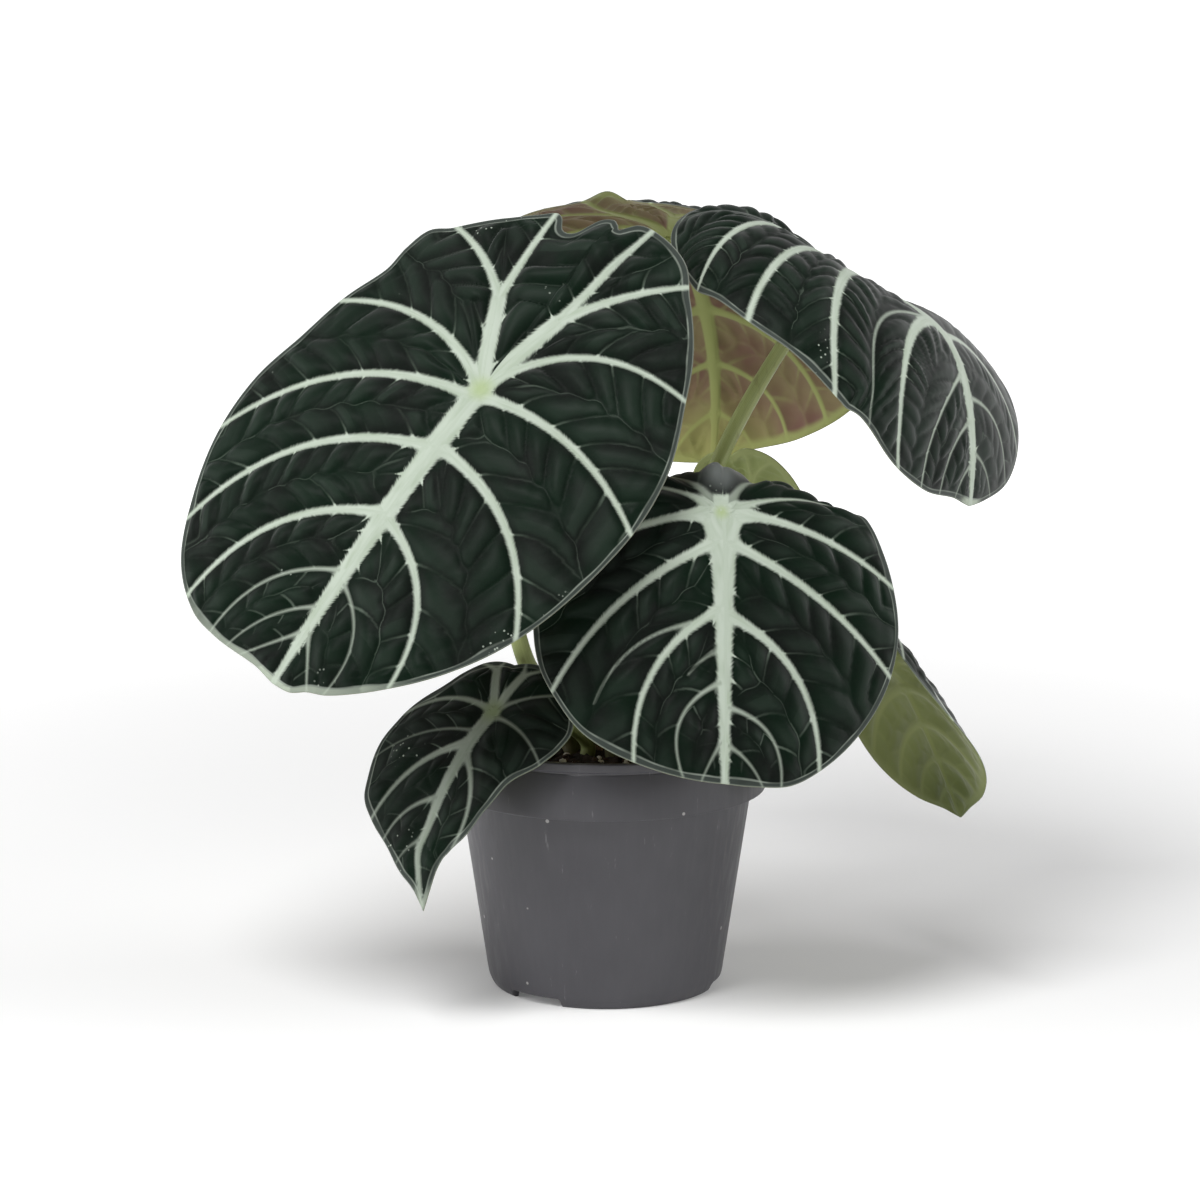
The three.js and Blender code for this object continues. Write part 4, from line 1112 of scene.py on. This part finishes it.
GAP = 0.3
HOLE_BOTTOM = 68
SOIL_TOP = 87
STALK_CIRCLE = 13.4
STALK_APPROACH = 9
STALK_SIDES = 20
STALK_STEP = 1.6
LARGE_STALK = (4, 2.6)
SMALL_STALK = (3.3, 1.9)


def around(radius, degrees):
    """x and y of a place on a circle."""
    return radius * math.cos(math.radians(degrees)), radius * math.sin(math.radians(degrees))


def centripetal(points, count):
    """A centripetal Catmull-Rom curve through points, as count places spaced evenly along it."""
    points = np.array(points, float)
    points = np.vstack([2 * points[0] - points[1], points, 2 * points[-1] - points[-2]])
    path = []
    for i in range(1, len(points) - 2):
        p0, p1, p2, p3 = points[i - 1:i + 3]
        d0, d1, d2 = [np.linalg.norm(b - a) ** 0.5 for a, b in ((p0, p1), (p1, p2), (p2, p3))]
        m1 = ((p1 - p0) / d0 - (p2 - p0) / (d0 + d1) + (p2 - p1) / d1) * d1
        m2 = ((p2 - p1) / d1 - (p3 - p1) / (d1 + d2) + (p3 - p2) / d2) * d1
        u = np.linspace(0, 1, 60, endpoint=i == len(points) - 3)[:, None]
        path.append((2 * u ** 3 - 3 * u ** 2 + 1) * p1 + (u ** 3 - 2 * u ** 2 + u) * m1
                    + (3 * u ** 2 - 2 * u ** 3) * p2 + (u ** 3 - u ** 2) * m2)
    path = np.vstack(path)
    length = np.concatenate([[0], np.cumsum(np.linalg.norm(np.diff(path, axis=0), axis=1))])
    at = np.linspace(0, length[-1], count)
    return np.stack([np.interp(at, length, path[:, k]) for k in range(3)], -1), length[-1]


def build_stalk(letter, leaf):
    """A tapering round stalk with shallow flutes, flared where it joins the blade."""
    low, high = LARGE_STALK if leaf["width"] > LARGE_WIDTH else SMALL_STALK
    surface = Surface(leaf)
    underside = -(HUB_DIMPLE + BLADE + MIDRIB_DEPTH)
    foot_x, foot_y = around(STALK_CIRCLE, leaf["base"])
    foot = [[foot_x, foot_y, z] for z in (HOLE_BOTTOM + GAP, HOLE_BOTTOM + 9, SOIL_TOP, SOIL_TOP + 6)]

    def below_hub(height):
        return surface.place(np.zeros(1), np.zeros(1), np.array([height]))[0].tolist()

    points = foot + leaf["stalk"][::-1] + [below_hub(underside - STALK_APPROACH), below_hub(underside + 1.2)]
    length = centripetal(points, 10)[1]
    steps = math.ceil(length / STALK_STEP)
    centre, length = centripetal(points, steps + 1)
    tangent = np.gradient(centre, axis=0)
    tangent /= np.linalg.norm(tangent, axis=1)[:, None]
    places = []
    rises = []
    turns = []
    side = np.array([1.0, 0, 0])
    for i in range(steps + 1):
        f = i / steps
        side = side - (side @ tangent[i]) * tangent[i]
        side /= np.linalg.norm(side)
        across = np.cross(tangent[i], side)
        to_top = (1 - f) * length
        radius = low + (high - low) * f ** 0.7
        radius *= 1 + 0.5 * math.exp(-to_top / 2.2) + 0.06 * math.exp(-to_top / 12)
        for k in range(STALK_SIDES):
            turn = 2 * math.pi * k / STALK_SIDES
            r = radius * (1 + 0.02 * math.cos(5 * turn) + 0.012 * math.sin(0.21 * i))
            places.append(centre[i] + r * (math.cos(turn) * side + math.sin(turn) * across))
            rises.append(f)
            turns.append(math.cos(turn))
    faces = []
    for i in range(steps):
        for k in range(STALK_SIDES):
            n = (k + 1) % STALK_SIDES
            at = i * STALK_SIDES
            faces.append([at + k, at + n, at + STALK_SIDES + n, at + STALK_SIDES + k])
    faces.append(list(range(STALK_SIDES))[::-1])
    faces.append([steps * STALK_SIDES + k for k in range(STALK_SIDES)])
    piece = new_object(f"petiole_{letter}", places, faces)
    set_attribute(piece, "rise", rises)
    set_attribute(piece, "turn", turns)
    return piece


# Pot, potting mix and rootstock

POT_HEIGHT = 96
RIM_RADIUS = 60
COLLAR_HEIGHT = 21
COLLAR_STEP = 5.2
FOOT_RADIUS = 41.4
WALL = 1.3
FLOOR_RISE = 3
FLOOR_THICKNESS = 1.6
CENTRE_PAD_RADIUS = 12
NOTCH_ANGLES = (-128, -8, 112)
NOTCH_SPAN = 30
NOTCH_HEIGHT = 3.2
DRAIN_COUNT = 6
DRAIN_RADIUS = 4
DRAIN_CIRCLE = 26
POT_SIDES = 240
POT_CREASE = 38
COLLAR_BOTTOM = POT_HEIGHT - COLLAR_HEIGHT
BODY_TOP = RIM_RADIUS - 0.6 - COLLAR_STEP
BODY_LOW = FOOT_RADIUS + 2
FLOOR_TOP = FLOOR_RISE + FLOOR_THICKNESS
COLLAR_INSIDE = RIM_RADIUS - 0.9 - WALL
LEDGE = COLLAR_BOTTOM + 1.6


def fillet(outline, corners, steps=4):
    """The outline with the numbered corners rounded: {index: radius}."""
    result = []
    for i, point in enumerate(outline):
        if i not in corners:
            result.append(point)
            continue
        here = np.array(point, float)
        before, after = np.array(outline[i - 1], float), np.array(outline[i + 1], float)
        way_in = (before - here) / np.linalg.norm(before - here)
        way_out = (after - here) / np.linalg.norm(after - here)
        for k in range(steps + 1):
            u = k / steps
            a, b = here + way_in * corners[i], here + way_out * corners[i]
            result.append(tuple(bezier(a, here, b, u)))
    return result


def lathe(name, outline, sides, shift=None):
    """A closed body of revolution from [radius, height] pairs that start and end on the axis."""
    places = []
    rings = []
    for radius, z in outline:
        if radius == 0:
            rings.append([len(places)] * sides)
            places.append((0, 0, z))
            continue
        rings.append([len(places) + k for k in range(sides)])
        for k in range(sides):
            x, y = around(radius, 360 * k / sides)
            places.append(shift(x, y, z) if shift else (x, y, z))
    faces = []
    for low, high in zip(rings, rings[1:]):
        for k in range(sides):
            n = (k + 1) % sides
            corners = [low[k], low[n], high[n], high[k]]
            corners = [c for i, c in enumerate(corners) if c not in corners[:i]]
            if len(corners) > 2:
                faces.append(corners)
    return new_object(name, places, faces)


def notched(x, y, z):
    """Lifts the foot ring where it has gaps."""
    radius = math.hypot(x, y)
    if z > NOTCH_HEIGHT or radius < FOOT_RADIUS - 4:
        return x, y, z
    angle = math.degrees(math.atan2(y, x))
    for notch in NOTCH_ANGLES:
        off = abs((angle - notch + 180) % 360 - 180)
        if off < NOTCH_SPAN / 2:
            return x, y, max(z, NOTCH_HEIGHT)
    return x, y, z


def cut_drains(pot):
    """Cuts the drain holes through the floor."""
    cutter_mesh = bpy.data.meshes.new("drains")
    holes = bmesh.new()
    for i in range(DRAIN_COUNT):
        x, y = around(DRAIN_CIRCLE, 360 * (i + 0.5) / DRAIN_COUNT)
        made = bmesh.ops.create_cone(holes, cap_ends=True, segments=32, radius1=DRAIN_RADIUS * MM,
                                     radius2=DRAIN_RADIUS * MM, depth=12 * MM)
        bmesh.ops.translate(holes, verts=made["verts"], vec=Vector((x, y, FLOOR_RISE)) * MM)
    holes.to_mesh(cutter_mesh)
    holes.free()
    cutter = bpy.data.objects.new("drains", cutter_mesh)
    bpy.context.scene.collection.objects.link(cutter)
    cut = pot.modifiers.new("drains", "BOOLEAN")
    cut.operation = "DIFFERENCE"
    cut.solver = "EXACT"
    cut.object = cutter
    shaped = bpy.data.meshes.new_from_object(pot.evaluated_get(bpy.context.evaluated_depsgraph_get()))
    pot.modifiers.clear()
    pot.data = shaped
    bpy.data.objects.remove(cutter)


def build_pot():
    """The nursery pot: a turned wall with a collar, gaps in its foot ring and drain holes."""
    outline = [
        # Underneath, with a flat pad in the middle
        (0, 0), (CENTRE_PAD_RADIUS, 0), (CENTRE_PAD_RADIUS + 0.8, FLOOR_RISE),
        (FOOT_RADIUS - 2.4, FLOOR_RISE), (FOOT_RADIUS - 1.8, 0), (FOOT_RADIUS, 0),
        # Outside, up to the collar and its rounded rim
        (BODY_LOW, 3.4), (BODY_TOP, COLLAR_BOTTOM), (RIM_RADIUS - 0.6, COLLAR_BOTTOM - 0.3),
        (RIM_RADIUS - 0.2, POT_HEIGHT - 4.6), (RIM_RADIUS - 0.55, POT_HEIGHT - 4.1),
        (RIM_RADIUS - 0.5, POT_HEIGHT - 3.6), (RIM_RADIUS, POT_HEIGHT - 3.1),
        (RIM_RADIUS, POT_HEIGHT), (RIM_RADIUS - 2.1, POT_HEIGHT),
        # Inside, down to the floor
        (COLLAR_INSIDE + 0.4, POT_HEIGHT - 4), (COLLAR_INSIDE, LEDGE), (BODY_TOP - WALL, LEDGE - 1),
        (BODY_LOW - WALL, FLOOR_TOP + 1.6), (BODY_LOW - WALL - 1.6, FLOOR_TOP), (0, FLOOR_TOP),
    ]
    rounded = fillet(outline, {5: 1.0, 6: 2.2, 7: 0.7, 8: 0.8, 13: 0.8, 14: 0.8, 16: 1.2, 17: 0.8})
    pot = lathe("nursery_pot", rounded, POT_SIDES, notched)
    cut_drains(pot)
    pot.data.polygons.foreach_set("use_smooth", [True] * len(pot.data.polygons))
    pot.data.set_sharp_from_angle(angle=math.radians(POT_CREASE))
    return pot


def soil_height(x, y):
    """Top of the mix: a low mound with crumbs."""
    crumbs = np.sin(x * 0.62 + 1.3 * np.sin(y * 0.41)) + np.sin(y * 0.71 + x * 0.23 + 2)
    return SOIL_TOP + 1.1 * crumbs / 2 + 2.5 * np.exp(-(x * x + y * y) / 500)


CRUMBS = 1500
CRUMB_SIZES = (0.5, 1.9)
BARK_FROM = 0.8
FINE_FROM = 0.85
PALE_FROM = 0.93
PALE_TINT = 2.0
SOIL_RINGS = 60
SOIL_SIDES = 150
SOIL_CREASE = 50


def build_soil():
    """The mix as one mound with loose crumbs, bark and pale grains sunk into it."""
    rng = np.random.default_rng(11)
    floor = FLOOR_TOP + GAP
    low_wall = BODY_LOW - WALL - GAP
    wall = COLLAR_INSIDE - GAP
    outline = [(0, floor), (low_wall - 1.8, floor), (low_wall - 0.1, floor + 1.6),
               (BODY_TOP - WALL - GAP - 0.1, LEDGE + GAP - 1.2), (wall - 0.2, LEDGE + GAP)]
    outline += [(wall * i / SOIL_RINGS, SOIL_TOP) for i in range(SOIL_RINGS, 0, -1)] + [(0, SOIL_TOP)]

    def lifted(x, y, z):
        if z < SOIL_TOP - 0.01:
            return x, y, z
        fine = 0.5 * math.sin(2.1 * x + 1.1 * math.sin(1.7 * y)) * math.sin(2.3 * y + 0.7 * x)
        fine += 0.25 * math.sin(4.9 * x + 2 * math.sin(3.1 * y))
        return x, y, float(soil_height(x, y)) + fine
    mound = lathe("mound", outline, SOIL_SIDES, lifted)
    mesh = bmesh.new()
    mesh.from_mesh(mound.data)
    tint = mesh.verts.layers.float.new("tint")
    feet = [around(STALK_CIRCLE, leaf["base"]) for leaf in LEAVES.values()] + [(0, 0)]
    for i in range(CRUMBS):
        radius = (wall - 1.5) * math.sqrt(rng.uniform(0.02, 1))
        x, y = around(radius, rng.uniform(0, 360))
        size = rng.uniform(*CRUMB_SIZES)
        if min(math.dist((x, y), foot) for foot in feet) < 4.6 + size:
            continue
        kind = rng.uniform()
        made = bmesh.ops.create_icosphere(mesh, subdivisions=1 if kind < FINE_FROM else 2, radius=1)
        pale = kind > PALE_FROM
        bark = BARK_FROM < kind <= PALE_FROM
        stretch = np.array([rng.uniform(0.7, 1.3), rng.uniform(0.7, 1.3), rng.uniform(0.6, 1)]) * size
        if bark:
            stretch = stretch * np.array([2.2, 1.1, 0.5])
        if pale:
            stretch = np.full(3, 0.8 * size) * rng.uniform(0.8, 1.2, 3)
        turn = rng.uniform(0, math.pi)
        z = float(soil_height(x, y)) + 0.25 * size
        shade = PALE_TINT if pale else rng.uniform(0, 1)
        for vert in made["verts"]:
            local = np.array(vert.co) * stretch * (1 + 0.22 * rng.uniform(-1, 1))
            px = local[0] * math.cos(turn) - local[1] * math.sin(turn)
            py = local[0] * math.sin(turn) + local[1] * math.cos(turn)
            vert.co = Vector((x + px, y + py, z + local[2])) * MM
            vert[tint] = shade
    mesh.to_mesh(mound.data)
    mesh.free()
    mound.name = "potting_mix"
    mound.data.polygons.foreach_set("use_smooth", [True] * len(mound.data.polygons))
    mound.data.set_sharp_from_angle(angle=math.radians(SOIL_CREASE))
    return mound


ROOTSTOCK_RADIUS = 8.2
ROOTSTOCK_TOP = 93
ROOTSTOCK_STEPS = 48
ROOTSTOCK_SIDES = 72


def build_rootstock():
    """A blunt knob ringed by the scars of old leaves."""
    outline = [(0, HOLE_BOTTOM + GAP)]
    low, high = HOLE_BOTTOM + GAP, ROOTSTOCK_TOP
    for i in range(ROOTSTOCK_STEPS + 1):
        f = i / ROOTSTOCK_STEPS
        z = low + (high - low) * f
        radius = ROOTSTOCK_RADIUS * (1 - 0.45 * float(ramp(0.82, 1, f))) - 0.35 * abs(math.sin(f * 21))
        outline.append((radius, z))
    outline.append((0, ROOTSTOCK_TOP + 0.6))

    def fibrous(x, y, z):
        angle = math.atan2(y, x)
        grow = 1 + 0.03 * math.sin(7 * angle + 0.4 * z) + 0.02 * math.sin(19 * angle - 0.9 * z)
        return x * grow, y * grow, z
    return lathe("rootstock_knob", outline, ROOTSTOCK_SIDES, fibrous)


# Assembly

def dress(piece, material, slot, *nodes):
    """Gives a piece its material and its body, and hides the solids that it stands for; the slot is not used.
    """
    piece.data.materials.clear()
    piece.data.materials.append(material)
    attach(piece, BODY)
    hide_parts(*nodes)


UNDERSIDES = {
    "red": leaf_material("leaf_red_below", *RED_UNDERSIDE),
    "olive": leaf_material("leaf_olive_below", *OLIVE_UNDERSIDE),
    "light": leaf_material("leaf_painted_backlight_below", *PAINTED_BACKLIGHT_UNDERSIDE),
}
STALK_SKIN = stalk_material()

for letter, leaf in LEAVES.items():
    dress(build_blade(letter, leaf), UNDERSIDES[leaf["skin"]], "leaf_blade", f"blade_{letter}")
    dress(build_stalk(letter, leaf), STALK_SKIN, "leaf_stalk", f"stalk_{letter}")
dress(build_pot(), pot_material(), "pot_plastic", "pot")
dress(build_soil(), mix_material(), "potting_mix", "soil")
dress(build_rootstock(), rootstock_material(), "rootstock_skin", "rootstock")


# Stage, light and camera

FLOOR_RADIUS = 12000
FLOOR_SIDES = 96
# The glow's distances are metres, as the material reads them
GLOW_START = 0.25
GLOW_END = 1.3
GLOW_NEAR = 0.11
GLOW_FAR = 1.0


def build_floor():
    """A pale flat floor with painted light: it glows faintly by the plant, lightening the cast shadow there,
    and fully far away, as white surroundings do.
    """
    places = [(0, 0, 0)] + [(*around(FLOOR_RADIUS, 360 * k / FLOOR_SIDES), 0) for k in range(FLOOR_SIDES)]
    faces = [[0, 1 + k, 1 + (k + 1) % FLOOR_SIDES] for k in range(FLOOR_SIDES)]
    floor = new_object("floor", places, faces)
    m = Shader("pale_floor_painted_glow")
    tone = m.noise(m.place, 3, 2)
    # Painted light: a glow that rises from faint near the plant to full far away
    glow = m.ramp(m.length(m.place), GLOW_START, GLOW_END, GLOW_NEAR, GLOW_FAR)
    m.surface.inputs["Emission Color"].default_value = (1, 1, 1, 1)
    m.links.new(glow, m.surface.inputs["Emission Strength"])
    floor.data.materials.append(m.finish(m.mix(tone, FLOOR_DARK, FLOOR_LIGHT), 0.9, 0.1))


def area_light(name, place, target, size, watts):
    """A round soft light that looks from its place to a target."""
    data = bpy.data.lights.new(name, "AREA")
    data.shape = "DISK"
    data.size = size * MM
    data.energy = watts
    light = bpy.data.objects.new(name, data)
    light.location = Vector(place) * MM
    light.rotation_euler = (Vector(target) - Vector(place)).to_track_quat("-Z", "Y").to_euler()
    bpy.context.scene.collection.objects.link(light)


WORLD_STRENGTH = 0.16


def build_world():
    """Faint white light from all round."""
    world = bpy.data.worlds.new("studio")
    world.use_nodes = True
    background = world.node_tree.nodes["Background"]
    background.inputs["Color"].default_value = (1, 1, 1, 1)
    background.inputs["Strength"].default_value = WORLD_STRENGTH
    bpy.context.scene.world = world


CAMERA_PLACE = (-2.0, -1717.8, 478.2)
CAMERA_TARGET = (-2.0, 0, 144.3)
LENS = 142.66
SENSOR = 36
VIEW_END = 20


def build_camera():
    """The view of the photograph."""
    data = bpy.data.cameras.new("camera")
    data.sensor_width = SENSOR
    data.lens = LENS
    data.clip_end = VIEW_END
    camera = bpy.data.objects.new("camera", data)
    camera.location = Vector(CAMERA_PLACE) * MM
    camera.rotation_euler = (Vector(CAMERA_TARGET) - Vector(CAMERA_PLACE)).to_track_quat("-Z", "Y").to_euler()
    bpy.context.scene.collection.objects.link(camera)
    bpy.context.scene.camera = camera


CENTRE = (0, 0, 130)
build_floor()
build_world()
area_light("key", (-550, -950, 1600), CENTRE, 900, 30)
area_light("right", (1400, -50, 700), CENTRE, 900, 11)
area_light("left", (-1500, -250, 600), CENTRE, 900, 10)
build_camera()
bpy.context.scene.view_settings.view_transform = "Standard"
